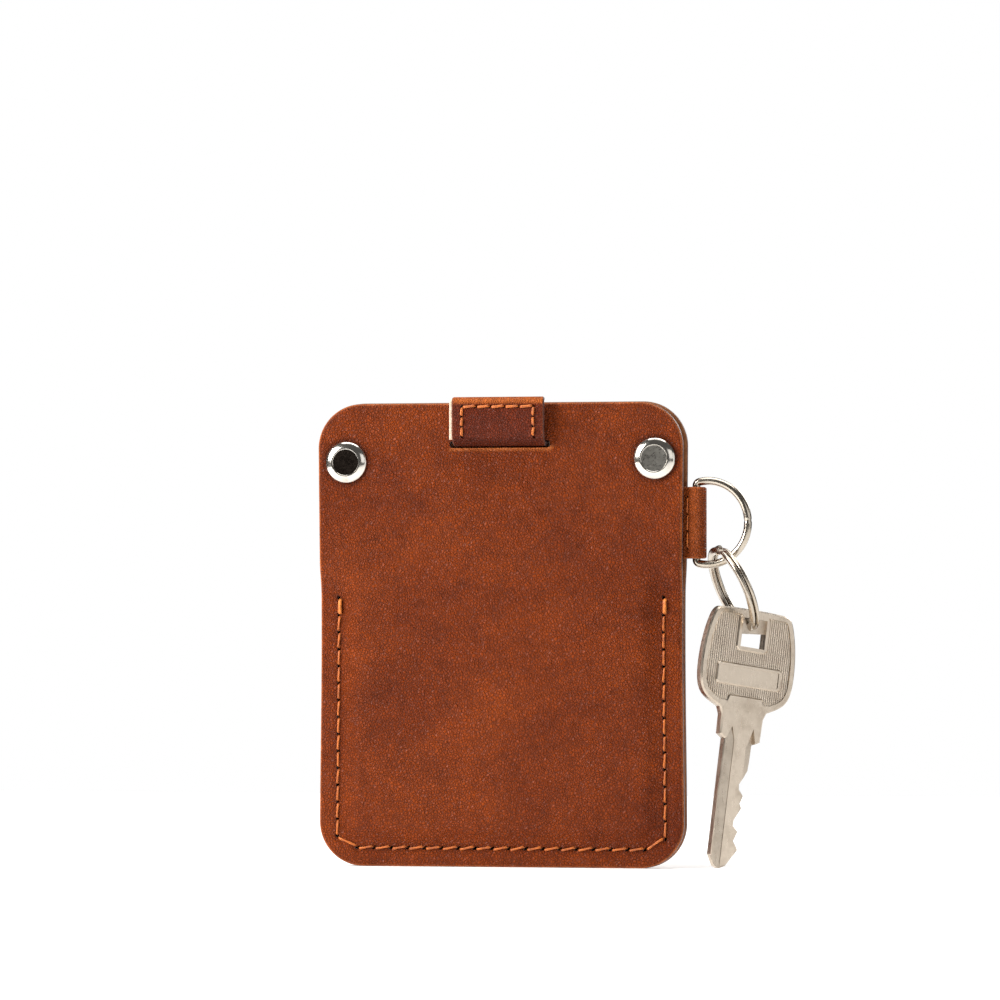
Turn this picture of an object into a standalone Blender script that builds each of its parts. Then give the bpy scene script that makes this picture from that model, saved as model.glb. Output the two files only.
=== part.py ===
"""Slim leather card wallet with a pull tab, a key loop, two rings and a key.

Lengths are written in millimetres and turned to metres when a mesh is made.
The wallet stands on its bottom edge: +Z is up, -Y is the front, +X is the key's side.
The origin is the middle of the back panel's bottom edge.
"""

import math

import bmesh
import bpy
import numpy as np

MM = 0.001

# Wallet panels
WIDTH = 83.0
HEIGHT = 103.5
CORNER = 10.0
LEATHER = 2.0
BEVEL = 0.4
WAIST = 0.0096
BACK_WIDER = 0.4
BACK_TALLER = 0.3
GAP = 0.3
HALF_SEAM_GAP = GAP / 2
HALF_POCKET = 1.6
PRESSED_RIM = 4.9
BULGE_RUN = 4.6
RING_OFFSETS = (0.0, BEVEL, PRESSED_RIM, 6.0, 7.2, 8.4, 9.5)
SIDE_HEIGHTS = (22.0, 34.0, 46.0, 55.0, 60.7, 62.5, 64.4, 66.2, 68.0, 78.0, 86.0)
MID_Y = -(HALF_SEAM_GAP + LEATHER / 2)
FACE = HALF_POCKET + LEATHER
OPENING_RUN = 7.8
CUT_REACH = 8.0

# Seam
SEAM_INSET = 4.2
SEAM_TOP = 60.0
SIDE_STITCHES = 14
BOTTOM_STITCHES = 17
CHAMFER_X = 4.6
CHAMFER_Z = 2.5
THREAD = 0.6
RUNG = 0.5
HOLE = 1.1

# Slot, strap and pull tab
SLOT_X = 0.2
SLOT_WIDTH = 23.0
SLOT_BOTTOM = 93.45
STRAP = 1.1
STRAP_WIDTH = 21.0
STRAP_TURN_Z = 12.2
STRAP_OPENS_Z = 60.0
ANCHOR_TOP = 101.0
ANCHOR_SEAM_Z = 98.0
ANCHOR_SEAM_ENDS = (-7.8, 7.4)
ANCHOR_HOLES = 5
TAB_BOTTOM = 95.6
TAB_TOP = 104.8
TAB_STEP = 0.35
TAB_STEP_HEIGHTS = (96.5, 97.7, 98.6)
TAB_END = 98.5
TAB_SEAM_HALF = 8.1
TAB_SEAM_BOTTOM = 99.0
TAB_SEAM_TOP = 102.6
TAB_HOLE_GRIP = 0.2

# Rivets
LEFT_RIVET = (-34.9, 90.4)
RIGHT_RIVET = (35.2, 90.9)
CAP_RADIUS = 4.6
CAP_HEIGHT = 1.15
DISC_RADIUS = 3.0
TUBE_RADIUS = 1.9
BORE_RADIUS = 1.2
STEM_RADIUS = 0.9
CAP_RIM = 0.35
DISC_RIM = 0.25
DISC_DIP = 0.12
TUBE_EXTRA = 1.2
STEM_SHORT = 0.6

# Key loop and D ring
LOOP_LEATHER = 1.1
LOOP_BOTTOM = 68.7
LOOP_TOP = 84.6
BAR_X = 44.0
D_WIRE = 1.75
D_RADIUS = 9.27
D_OFFSET = 2.6
D_CORNER = 0.9
D_TURN = math.radians(-7.0)
LOOP_SEAM_X = 42.3
LOOP_SEAM_REACH = 2.15
LOOP_SEAM_END = 1.45
LOOP_SEAM_INSET = 2.2
LOOP_HOLES = 4
LOOP_FRONT_END = 37.6
LOOP_BACK_END = 30.6
LOOP_PINCH_X = 41.6
LOOP_WRAP = 118
LOOP_THREAD = 0.4
LOOP_ANCHOR_X = 34.0
LOOP_MIDDLE = (LOOP_BOTTOM + LOOP_TOP) / 2

# Split ring and key
RING_RADIUS = 9.3
RING_RADIAL = 1.8
RING_COIL = 0.95
RING_COIL_GAP = 0.15
RING_SLIDE = 3.2
RING_HANG = 6.5
RING_HEADING = math.radians(13.0)
RING_DIP = math.radians(66.0)
RING_SIDE_HEADING = math.radians(-62.0)
RING_START = math.radians(100.0)
RING_STEP = math.radians(24.0)
RING_STATIONS = 36
KEY_THICKNESS = 2.1
KEY_HEADING = math.radians(43.0)
KEY_LEAN = math.radians(8.2)
KEY_HOLE_CENTRE = (0.3, 52.5)
KEY_HOLE_HALF = 3.2
KEY_HANG_POINT = (-0.1, 53.9)
FRONT_GROOVE_LEFT_FLOOR = 0.3
FRONT_GROOVE_RIGHT_FLOOR = 0.45
BACK_GROOVE_FLOOR = -0.3
KEY_CUT_REACH = 3.0

COLOURS = {
    "leather": ((0.35, 0.1, 0.035, 1.0), 0.55, 0.0),
    "dark_leather": ((0.27, 0.07, 0.035, 1.0), 0.5, 0.0),
    "thread": ((0.62, 0.24, 0.06, 1.0), 0.7, 0.0),
    "nickel": ((0.75, 0.73, 0.68, 1.0), 0.22, 1.0),
    "key_nickel": ((0.55, 0.5, 0.43, 1.0), 0.4, 1.0),
}


# ---------------------------------------------------------------- helpers


def material(name):
    """Return the named Principled material, made once."""
    made = bpy.data.materials.get(name)
    if made:
        return made
    colour, roughness, metallic = COLOURS[name]
    made = bpy.data.materials.new(name)
    made.use_nodes = True
    shader = made.node_tree.nodes["Principled BSDF"]
    shader.inputs["Base Color"].default_value = colour
    shader.inputs["Roughness"].default_value = roughness
    shader.inputs["Metallic"].default_value = metallic
    return made


def add_object(name, vertices, faces, finish, origin=(0.0, 0.0, 0.0)):
    """Make an object from millimetre points, with its origin at the given point."""
    mesh = bpy.data.meshes.new(name)
    points = [tuple((p - o) * MM for p, o in zip(v, origin)) for v in vertices]
    mesh.from_pydata(points, [], faces)
    cleaned = bmesh.new()
    cleaned.from_mesh(mesh)
    bmesh.ops.recalc_face_normals(cleaned, faces=cleaned.faces)
    cleaned.to_mesh(mesh)
    cleaned.free()
    mesh.shade_smooth()
    mesh.set_sharp_from_angle(angle=math.radians(35))
    made = bpy.data.objects.new(name, mesh)
    made.location = tuple(o * MM for o in origin)
    bpy.context.collection.objects.link(made)
    if finish:
        mesh.materials.append(material(finish))
    return made


def cutter(name, solids):
    """Join closed solids, each (vertices, faces), into one hidden cutting object."""
    vertices, faces = [], []
    for solid_vertices, solid_faces in solids:
        start = len(vertices)
        vertices += list(solid_vertices)
        faces += [tuple(i + start for i in face) for face in solid_faces]
    made = add_object(name, vertices, faces, None)
    made.hide_render = True
    made.display_type = "WIRE"
    return made


def cut(target, tool):
    """Subtract the tool from the target with an exact Boolean."""
    boolean = target.modifiers.new("cut_" + tool.name, "BOOLEAN")
    boolean.operation = "DIFFERENCE"
    boolean.solver = "EXACT"
    boolean.object = tool


def tube_faces(stations, sides, closed=False):
    """Quads between rings of `sides` points, with end caps unless the tube is closed."""
    faces = []
    last = stations if closed else stations - 1
    for i in range(last):
        a, b = i * sides, (i + 1) % stations * sides
        for k in range(sides):
            n = (k + 1) % sides
            faces.append((a + k, a + n, b + n, b + k))
    if not closed:
        faces.append(tuple(range(sides)))
        faces.append(tuple((stations - 1) * sides + k for k in range(sides)))
    return faces


def box(low, high):
    """A closed box as (vertices, faces)."""
    corners = [(x, y, z) for x in (low[0], high[0]) for y, z in
               ((low[1], low[2]), (high[1], low[2]), (high[1], high[2]), (low[1], high[2]))]
    return corners, tube_faces(2, 4)


def cylinder_y(x, z, radius, y_low, y_high, sides=24):
    """A closed cylinder along Y as (vertices, faces)."""
    turns = [2 * math.pi * k / sides for k in range(sides)]
    rings = [(x + radius * math.cos(t), y, z + radius * math.sin(t))
             for y in (y_low, y_high) for t in turns]
    return rings, tube_faces(2, sides)


def arc(centre, radius, start, end, steps):
    """Points of a circular arc, angles in degrees."""
    turns = np.radians(np.linspace(start, end, steps + 1))
    return [(centre[0] + radius * math.cos(t), centre[1] + radius * math.sin(t)) for t in turns]


def smooth_step(value):
    """0 below 0, 1 above 1, and a smooth rise between."""
    t = min(max(value, 0.0), 1.0)
    return t * t * (3 - 2 * t)


def strip(path, thickness, place, low, high):
    """A bent strip: a flat path thickened to both sides and extruded from low to high.

    place(p, q, w) turns the path's two coordinates and the width to x, y, z.
    """
    points = np.array(path)
    steps = np.diff(points, axis=0)
    steps /= np.linalg.norm(steps, axis=1)[:, None]
    before = np.vstack([steps[:1], steps])
    after = np.vstack([steps, steps[-1:]])
    tangents = before + after
    tangents /= np.linalg.norm(tangents, axis=1)[:, None]
    mitre = 1 / np.maximum((tangents * after).sum(axis=1), 0.7)
    normals = np.column_stack([-tangents[:, 1], tangents[:, 0]]) * mitre[:, None]
    vertices = []
    for point, normal in zip(points, normals):
        left = point + normal * thickness / 2
        right = point - normal * thickness / 2
        for (p, q), w in ((left, low), (right, low), (right, high), (left, high)):
            vertices.append(place(p, q, w))
    return vertices, tube_faces(len(points), 4)


def ladder(points, across, rail_out, far_out, thread=THREAD):
    """A stitched thread: a square rail along the points, with a rung through every hole.

    across is the direction through the leather, from the rail to its far end.
    rail_out and far_out are distances along `across` of the rail's inner face and of
    the far rail's inner face. With far_out given as ("end", d), rungs stop at d instead.
    """
    points = np.array(points, dtype=float)
    across = np.array(across, dtype=float)
    ends_only = isinstance(far_out, tuple)
    far = far_out[1] if ends_only else far_out
    steps = np.diff(points, axis=0)
    steps /= np.linalg.norm(steps, axis=1)[:, None]
    tangents = np.vstack([steps[:1], steps]) + np.vstack([steps, steps[-1:]])
    tangents /= np.linalg.norm(tangents, axis=1)[:, None]
    vertices, faces = [], []

    def rail(level, direction):
        first = len(vertices)
        for point, tangent in zip(points, tangents):
            side = np.cross(across, tangent) * RUNG / 2
            for end in (-1, 1):
                centre = point + end * tangent * RUNG / 2
                inner = centre + across * level
                outer = inner + across * direction * thread
                corners = (inner - side, inner + side, outer + side, outer - side)
                vertices.extend(map(tuple, corners))
        stations = 2 * len(points)
        for i in range(stations - 1):
            a, b = first + 4 * i, first + 4 * (i + 1)
            for k in range(4):
                if i % 2 == 0 and k == 0:
                    continue
                n = (k + 1) % 4
                faces.append((a + k, a + n, b + n, b + k))
        faces.append(tuple(first + k for k in range(4)))
        faces.append(tuple(first + 4 * (stations - 1) + k for k in range(4)))
        return first

    near_start = rail(rail_out, -1)
    mouths = [tuple(near_start + 8 * i + k for k in (0, 1, 5, 4)) for i in range(len(points))]
    if ends_only:
        for mouth in mouths:
            start = len(vertices)
            for index in mouth:
                corner = np.array(vertices[index])
                vertices.append(tuple(corner + across * (far - rail_out)))
            faces.append(tuple(range(start, start + 4)))
            for k in range(4):
                n = (k + 1) % 4
                faces.append((mouth[k], mouth[n], start + n, start + k))
    else:
        far_start = rail(far, 1)
        for i, mouth in enumerate(mouths):
            base = far_start + 8 * i
            end = (base, base + 1, base + 5, base + 4)
            for k in range(4):
                n = (k + 1) % 4
                faces.append((mouth[k], mouth[n], end[n], end[k]))
    return vertices, faces


def lathe_y(profile, x, z, sign, base_y, sides=32):
    """Turn (radius, height) points about an axis along Y; both ends lie on the axis."""
    inner = profile[1:-1]
    turns = [2 * math.pi * k / sides for k in range(sides)]
    vertices = [(x + r * math.cos(t), base_y + sign * a, z + r * math.sin(t))
                for r, a in inner for t in turns]
    first, last = len(vertices), len(vertices) + 1
    vertices += [(x, base_y + sign * profile[0][1], z), (x, base_y + sign * profile[-1][1], z)]
    faces = [f for f in tube_faces(len(inner), sides) if len(f) == 4]
    for k in range(sides):
        n = (k + 1) % sides
        faces.append((first, k, n))
        faces.append((last, (len(inner) - 1) * sides + n, (len(inner) - 1) * sides + k))
    return vertices, faces


# ---------------------------------------------------------------- panels


def half_gap(inset, z):
    """Half the space between the panels: pressed along the seam, open inside and above it."""
    inside = smooth_step((inset - PRESSED_RIM) / BULGE_RUN)
    above = smooth_step((z - SIDE_HEIGHTS[4]) / OPENING_RUN)
    pressed = (1 - inside) * (1 - above)
    return HALF_POCKET - (HALF_POCKET - HALF_SEAM_GAP) * pressed


def waisted(x, z):
    """Draw the sides in a little at mid height."""
    return x * (1 - WAIST * math.sin(math.pi * z / HEIGHT) ** 2)


def outline(inset, width, height):
    """Rounded rectangle drawn inwards by the inset, from the bottom left corner round."""
    radius = CORNER - inset
    cx, top = width / 2 - CORNER, height - CORNER
    points = arc((-cx, CORNER), radius, 180, 270, 7)
    points += [(x * cx, inset) for x in (-0.5, 0.0, 0.5)]
    points += arc((cx, CORNER), radius, 270, 360, 7)
    points += [(width / 2 - inset, z) for z in SIDE_HEIGHTS]
    points += arc((cx, top), radius, 0, 90, 7)
    points += [(x * cx, height - inset) for x in (0.5, 0.0, -0.5)]
    points += arc((-cx, top), radius, 90, 180, 7)
    points += [(inset - width / 2, z) for z in reversed(SIDE_HEIGHTS)]
    return points


def panel_solid(sign, width, height):
    """One leather panel; sign is -1 for the front and +1 for the back."""
    vertices = []
    for inset in reversed(RING_OFFSETS):
        for x, z in outline(inset, width, height):
            vertices.append((waisted(x, z), MID_Y + sign * half_gap(inset, z), z))
    for inset in RING_OFFSETS:
        thickness = LEATHER - (BEVEL if inset == 0 else 0)
        for x, z in outline(inset, width, height):
            vertices.append((waisted(x, z), MID_Y + sign * (half_gap(inset, z) + thickness), z))
    count = len(outline(0, width, height))
    return vertices, tube_faces(2 * len(RING_OFFSETS), count)


def seam_points():
    """Stitch holes down the left side, across the bottom and up the right side."""
    side = WIDTH / 2 - SEAM_INSET
    low = SEAM_INSET + CHAMFER_Z
    heights = np.linspace(SEAM_TOP, low, SIDE_STITCHES + 1)
    across = np.linspace(-(side - CHAMFER_X), side - CHAMFER_X, BOTTOM_STITCHES + 1)
    left = [(waisted(-side, z), MID_Y, z) for z in heights]
    bottom = [(x, MID_Y, SEAM_INSET) for x in across]
    right = [(-x, y, z) for x, y, z in reversed(left)]
    return left + bottom + right


def hole_boxes(points, y_low, y_high):
    """Square stitch holes along Y at the points."""
    half = HOLE / 2
    return [box((x - half, y_low, z - half), (x + half, y_high, z + half)) for x, _, z in points]


def strap_anchor_points():
    """Stitch holes that hold the strap's inner end to the back panel."""
    return [(x, MID_Y, ANCHOR_SEAM_Z) for x in np.linspace(*ANCHOR_SEAM_ENDS, ANCHOR_HOLES)]


def loop_points(x):
    """Stitch holes up the key loop at the given place across it."""
    heights = np.linspace(LOOP_BOTTOM + LOOP_SEAM_INSET, LOOP_TOP - LOOP_SEAM_INSET, LOOP_HOLES)
    return [(x, MID_Y, z) for z in heights]


def make_panels():
    """The two panels with their stitch holes, rivet holes and the front slot."""
    front_end, back_end = MID_Y - CUT_REACH, MID_Y + CUT_REACH
    rivets = [cylinder_y(x, z, TUBE_RADIUS + GAP, front_end, back_end)
              for x, z in (LEFT_RIVET, RIGHT_RIVET)]
    seam = hole_boxes(seam_points(), front_end, back_end)
    slot_low = (SLOT_X - SLOT_WIDTH / 2, front_end, SLOT_BOTTOM)
    slot_high = (SLOT_X + SLOT_WIDTH / 2, MID_Y, SLOT_BOTTOM + STRAP + 2 * GAP)
    front_holes = cutter("front_holes", rivets + seam + [box(slot_low, slot_high)])
    anchors = hole_boxes(strap_anchor_points() + loop_points(LOOP_ANCHOR_X), MID_Y, back_end)
    back_holes = cutter("back_holes", rivets + seam + anchors)
    front = add_object("front_panel", *panel_solid(-1, WIDTH, HEIGHT), "leather")
    back_shell = panel_solid(1, WIDTH + BACK_WIDER, HEIGHT + BACK_TALLER)
    back = add_object("back_panel", *back_shell, "leather")
    cut(front, front_holes)
    cut(back, back_holes)


def make_seam_thread():
    """One waxed thread: a run on the front, a run on the back and a rung in every hole."""
    reach = HALF_SEAM_GAP + LEATHER + GAP
    add_object("seam_thread", *ladder(seam_points(), (0, 1, 0), -reach, reach), "thread")


# ---------------------------------------------------------------- strap and tab


def across_x(p, q, w):
    """Strip path in the depth-height plane, measured from the wallet's middle plane."""
    return (w, MID_Y + p, q)


def make_strap():
    """The strap from the slot down the front, under the cards and up the back."""
    half = STRAP / 2
    inner = HALF_POCKET - GAP - half
    lip = SLOT_BOTTOM
    path = [(-(FACE + GAP + half), TAB_BOTTOM - GAP)]
    path += arc((-FACE, lip + STRAP + 2 * GAP), GAP + half, 180, 270, 5)
    path += arc((-HALF_POCKET, lip), GAP + half, 90, 0, 5)
    path += [(-inner, STRAP_OPENS_Z)]
    path += arc((0, STRAP_TURN_Z), inner, 180, 360, 8)
    path += [(inner, STRAP_OPENS_Z), (inner, ANCHOR_TOP)]
    low, high = SLOT_X - STRAP_WIDTH / 2, SLOT_X + STRAP_WIDTH / 2
    strap = add_object("pull_strap", *strip(path, STRAP, across_x, low, high), "dark_leather")
    holes = hole_boxes(strap_anchor_points(), MID_Y, MID_Y + HALF_POCKET)
    cut(strap, cutter("strap_holes", holes))
    thread = ladder(strap_anchor_points(), (0, 1, 0), inner - half - GAP, FACE + GAP)
    add_object("strap_anchor_thread", *thread, "thread")


def tab_stitch_points():
    """Stitch holes of the tab: up the left side, along the top and down the right side."""
    left, right = SLOT_X - TAB_SEAM_HALF, SLOT_X + TAB_SEAM_HALF
    side = np.linspace(TAB_SEAM_BOTTOM, TAB_SEAM_TOP, 3)
    top = np.linspace(left, right, 6)[1:-1]
    return ([(left, MID_Y, z) for z in side] + [(x, MID_Y, TAB_SEAM_TOP) for x in top]
            + [(right, MID_Y, z) for z in reversed(side)])


def make_tab():
    """The pull tab: the strap's outer end folded back on itself and sewn."""
    half = STRAP / 2
    rear = -(FACE + GAP + half)
    turn = GAP / 2 + half
    fold = rear - turn
    depths = (rear - TAB_STEP, fold - turn + TAB_STEP, fold - turn)
    path = [(rear, TAB_BOTTOM)] + list(zip(depths, TAB_STEP_HEIGHTS))
    path += arc((fold, TAB_TOP - turn - half), turn, 180, 0, 8)
    path += [(rear, TAB_END)]
    low, high = SLOT_X - STRAP_WIDTH / 2, SLOT_X + STRAP_WIDTH / 2
    tab = add_object("pull_tab", *strip(path, STRAP, across_x, low, high), "dark_leather")
    front_face = fold - turn - half
    rear_face = rear + half
    points = tab_stitch_points()
    holes = hole_boxes(points, MID_Y + front_face - 1, MID_Y + rear_face + TAB_HOLE_GRIP)
    cut(tab, cutter("tab_holes", holes))
    thread = ladder(points, (0, 1, 0), front_face - GAP, ("end", rear_face - TAB_HOLE_GRIP))
    add_object("pull_tab_thread", *thread, "thread")


# ---------------------------------------------------------------- rivets


def make_rivets():
    """Two rivets, each a socketed front cap and a back cap with its stem."""
    disc = CAP_HEIGHT - DISC_DIP
    head = [(CAP_RADIUS, 0.0), (CAP_RADIUS, CAP_RIM), (CAP_RADIUS - CAP_RIM, 2 * CAP_RIM),
            (DISC_RADIUS + DISC_RIM, CAP_HEIGHT), (DISC_RADIUS, disc), (0, disc)]
    tube_end = -(GAP + LEATHER + 2 * HALF_POCKET + TUBE_EXTRA)
    cap = [(0, GAP), (BORE_RADIUS, GAP), (BORE_RADIUS, tube_end), (TUBE_RADIUS, tube_end),
           (TUBE_RADIUS, 0.0)] + head
    stem_end = -(2 * FACE + GAP - STEM_SHORT)
    post = [(0, stem_end), (STEM_RADIUS, stem_end), (STEM_RADIUS, 0.0)] + head
    surface = FACE + GAP
    for side, (x, z) in (("left", LEFT_RIVET), ("right", RIGHT_RIVET)):
        add_object(side + "_rivet_cap", *lathe_y(cap, x, z, -1, MID_Y - surface), "nickel")
        add_object(side + "_rivet_post", *lathe_y(post, x, z, 1, MID_Y + surface), "nickel")


# ---------------------------------------------------------------- key loop and rings


def upright(p, q, w):
    """Strip path in the plan view, measured from the wallet's middle plane."""
    return (p, MID_Y + q, w)


def make_key_loop():
    """The leather loop round the D ring's bar, with its two threads.

    Its front end is tucked between the panels, and its longer back end is sewn to the back panel.
    """
    half = LOOP_LEATHER / 2
    round_bar = D_WIRE / 2 + GAP + half
    flat = GAP / 2 + half
    path = [(LOOP_FRONT_END, -flat), (LOOP_PINCH_X, -flat)]
    path += arc((BAR_X, 0), round_bar, -LOOP_WRAP, LOOP_WRAP, 14)
    path += [(LOOP_PINCH_X, flat), (LOOP_BACK_END, flat)]
    band = strip(path, LOOP_LEATHER, upright, LOOP_BOTTOM, LOOP_TOP)
    loop = add_object("key_loop", *band, "dark_leather")
    seam, tail = loop_points(LOOP_SEAM_X), loop_points(LOOP_ANCHOR_X)
    holes = hole_boxes(seam, MID_Y - FACE, MID_Y + FACE) + hole_boxes(tail, MID_Y, MID_Y + FACE)
    cut(loop, cutter("loop_holes", holes))
    thread = ladder(seam, (0, 1, 0), -LOOP_SEAM_REACH, ("end", LOOP_SEAM_END), LOOP_THREAD)
    add_object("key_loop_thread", *thread, "thread")
    anchor = ladder(tail, (0, 1, 0), -GAP / 2, FACE + GAP)
    add_object("loop_anchor_thread", *anchor, "thread")


def d_ring_frame():
    """The bar's point, the D's outward direction and its plane's normal."""
    bar = np.array((BAR_X, MID_Y, LOOP_MIDDLE))
    outward = np.array((math.cos(D_TURN), math.sin(D_TURN), 0.0))
    return bar, outward, np.cross(outward, (0, 0, 1))


def make_d_ring():
    """A round wire bent to a D: a straight bar, two tight corners and a wide arc."""
    bar, outward, normal = d_ring_frame()
    chord = math.degrees(math.acos(-(D_OFFSET - D_CORNER) / (D_RADIUS - D_CORNER)))
    corner_z = (D_RADIUS - D_CORNER) * math.sin(math.radians(chord))
    path = arc((D_OFFSET, 0), D_RADIUS, -chord, chord, 34)
    path += arc((D_CORNER, corner_z), D_CORNER, chord, 180, 4)[1:]
    path += [(0, corner_z * f) for f in (0.5, 0.0, -0.5)]
    path += arc((D_CORNER, -corner_z), D_CORNER, 180, 360 - chord, 4)[:-1]
    flat = np.array(path)
    steps = np.roll(flat, -1, axis=0) - np.roll(flat, 1, axis=0)
    steps /= np.linalg.norm(steps, axis=1)[:, None]
    vertices = []
    sides = 10
    for (p, q), (tp, tq) in zip(flat, steps):
        centre = bar + outward * p + np.array((0, 0, q))
        lateral = outward * tq - np.array((0, 0, tp))
        for k in range(sides):
            turn = 2 * math.pi * k / sides
            spoke = math.cos(turn) * lateral + math.sin(turn) * normal
            vertices.append(centre + D_WIRE / 2 * spoke)
    faces = tube_faces(len(flat), sides, closed=True)
    add_object("d_ring", vertices, faces, "nickel", origin=tuple(bar))


def unit(vector):
    """The vector at length one."""
    return np.array(vector) / np.linalg.norm(vector)


def ring_frame():
    """Where the split ring crosses the D's wire, its centre and its three directions."""
    bar, outward, _ = d_ring_frame()
    drop = math.sqrt(D_RADIUS ** 2 - RING_SLIDE ** 2)
    crossing = bar + outward * (D_OFFSET + RING_SLIDE) - np.array((0, 0, drop))
    level = math.cos(RING_DIP) * np.array((math.cos(RING_HEADING), math.sin(RING_HEADING), 0.0))
    along = level - np.array((0, 0, math.sin(RING_DIP)))
    heading = np.array((math.cos(RING_SIDE_HEADING), math.sin(RING_SIDE_HEADING), 0.0))
    side = unit(heading - along * heading.dot(along))
    return crossing, crossing + along * RING_HANG, along, side, np.cross(along, side)


def make_split_ring():
    """A flat strip wound twice round, with a short step from one coil to the other."""
    crossing, centre, along, side, normal = ring_frame()
    level = (RING_COIL + RING_COIL_GAP) / 2
    first = np.linspace(0, 2 * math.pi - RING_STEP, RING_STATIONS)
    turns = np.concatenate([first, first + 2 * math.pi])
    levels = np.repeat([-level, level], RING_STATIONS)
    vertices = []
    for turn, height in zip(turns, levels):
        radial = along * math.cos(turn + RING_START) + side * math.sin(turn + RING_START)
        for r, n in ((-1, -1), (1, -1), (1, 1), (-1, 1)):
            reach = RING_RADIUS + r * RING_RADIAL / 2
            vertices.append(centre + radial * reach + normal * (height + n * RING_COIL / 2))
    add_object("split_ring", vertices, tube_faces(len(turns), 4), "nickel", origin=tuple(crossing))


# ---------------------------------------------------------------- key


def key_outline():
    """Half-bow, shank, cuts and tip, from the top of the bow round; the tip is at height 0."""
    bow = [(8.6, 57.7), (10.1, 56.8), (11.0, 54.8), (12.0, 50.8), (12.5, 46.0),
           (12.4, 41.5), (11.5, 38.6), (9.6, 36.9), (6.3, 35.4)]
    shank = [(5.6, 33.8), (5.4, 28.8), (3.5, 27.9)]
    cuts = [(3.4, 24.3), (3.2, 22.2), (1.3, 19.0), (1.4, 17.9), (2.7, 16.5), (2.0, 14.8),
            (2.6, 13.8), (1.0, 11.0), (1.0, 9.8), (2.3, 8.6), (1.5, 6.4), (2.9, 4.6)]
    tip = [(0.0, 0.7), (-1.6, 0.0), (-2.6, 0.5), (-4.1, 2.9)]
    back = [(-4.1, 28.6), (-5.5, 29.5), (-5.6, 33.8)]
    left_bow = [(-x, z) for x, z in reversed(bow)]
    return bow + shank + cuts + tip + back + left_bow


def key_frame():
    """The key's width, length and thickness directions, and the point that hangs on the ring."""
    _, centre, along, _, _ = ring_frame()
    level = np.array((math.cos(KEY_HEADING), math.sin(KEY_HEADING), 0.0))
    up = np.array((0.0, 0.0, 1.0))
    width = level * math.cos(KEY_LEAN) - up * math.sin(KEY_LEAN)
    length = level * math.sin(KEY_LEAN) + up * math.cos(KEY_LEAN)
    return width, length, np.cross(width, length), centre + along * RING_RADIUS


def key_prism(points, low, high):
    """A flat outline on the key, extruded along the key's thickness."""
    width, length, thick, hang = key_frame()
    zero = hang - width * KEY_HANG_POINT[0] - length * KEY_HANG_POINT[1]
    vertices = [zero + width * s + length * t + thick * h for h in (low, high) for s, t in points]
    return vertices, tube_faces(2, len(points))


def make_key():
    """The key: bow with a square hole, cut blade and three milled grooves."""
    half = KEY_THICKNESS / 2
    hang = tuple(key_frame()[3])
    key = add_object("key", *key_prism(key_outline(), -half, half), "key_nickel", origin=hang)
    (cx, cz), reach = KEY_HOLE_CENTRE, KEY_HOLE_HALF
    hole = [(cx + reach * i, cz + reach * j) for i, j in ((-1, -1), (1, -1), (1, 1), (-1, 1))]
    left_groove = [(-3.5, -3.0), (-1.6, -3.0), (-1.6, 28.5), (-2.5, 31.5), (-3.5, 28.5)]
    right_groove = [(1.7, -3.0), (4.4, -3.0), (4.4, 27.0), (3.2, 31.5), (1.7, 27.0)]
    back_groove = [(-0.6, -3.0), (1.0, -3.0), (1.0, 28.5), (0.2, 31.5), (-0.6, 28.5)]
    tools = [key_prism(hole, -KEY_CUT_REACH, KEY_CUT_REACH),
             key_prism(left_groove, FRONT_GROOVE_LEFT_FLOOR, KEY_CUT_REACH),
             key_prism(right_groove, FRONT_GROOVE_RIGHT_FLOOR, KEY_CUT_REACH),
             key_prism(back_groove, -KEY_CUT_REACH, BACK_GROOVE_FLOOR)]
    cut(key, cutter("key_cuts", tools))


def main():
    for old in list(bpy.data.objects):
        bpy.data.objects.remove(old)
    make_panels()
    make_seam_thread()
    make_strap()
    make_tab()
    make_rivets()
    make_key_loop()
    make_d_ring()
    make_split_ring()
    make_key()


main()
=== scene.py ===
import math

import bmesh
import bpy
import numpy as np
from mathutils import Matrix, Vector


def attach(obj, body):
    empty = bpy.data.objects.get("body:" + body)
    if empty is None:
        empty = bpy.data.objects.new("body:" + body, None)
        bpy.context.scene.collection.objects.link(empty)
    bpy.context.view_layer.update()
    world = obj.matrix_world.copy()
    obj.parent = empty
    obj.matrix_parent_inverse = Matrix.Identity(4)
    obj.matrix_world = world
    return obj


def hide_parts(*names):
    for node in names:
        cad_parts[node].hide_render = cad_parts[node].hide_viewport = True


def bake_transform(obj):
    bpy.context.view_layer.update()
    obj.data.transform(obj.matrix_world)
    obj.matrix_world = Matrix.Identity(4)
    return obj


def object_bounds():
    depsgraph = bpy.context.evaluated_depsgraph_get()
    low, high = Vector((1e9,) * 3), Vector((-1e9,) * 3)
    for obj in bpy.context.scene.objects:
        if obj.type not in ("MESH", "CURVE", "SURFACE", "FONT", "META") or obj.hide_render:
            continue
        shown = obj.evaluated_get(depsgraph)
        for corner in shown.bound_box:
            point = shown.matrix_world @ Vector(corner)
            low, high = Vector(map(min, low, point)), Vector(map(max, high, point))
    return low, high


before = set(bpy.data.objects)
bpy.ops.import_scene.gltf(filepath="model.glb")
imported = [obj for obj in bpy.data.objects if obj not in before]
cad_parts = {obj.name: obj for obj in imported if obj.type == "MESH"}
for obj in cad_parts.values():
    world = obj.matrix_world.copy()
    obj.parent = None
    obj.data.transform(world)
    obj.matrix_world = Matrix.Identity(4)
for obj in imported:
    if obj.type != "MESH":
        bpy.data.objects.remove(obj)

CAD_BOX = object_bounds()
MM = 0.001

# Sizes and places are in millimetres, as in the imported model, but for lamps and camera.

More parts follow.
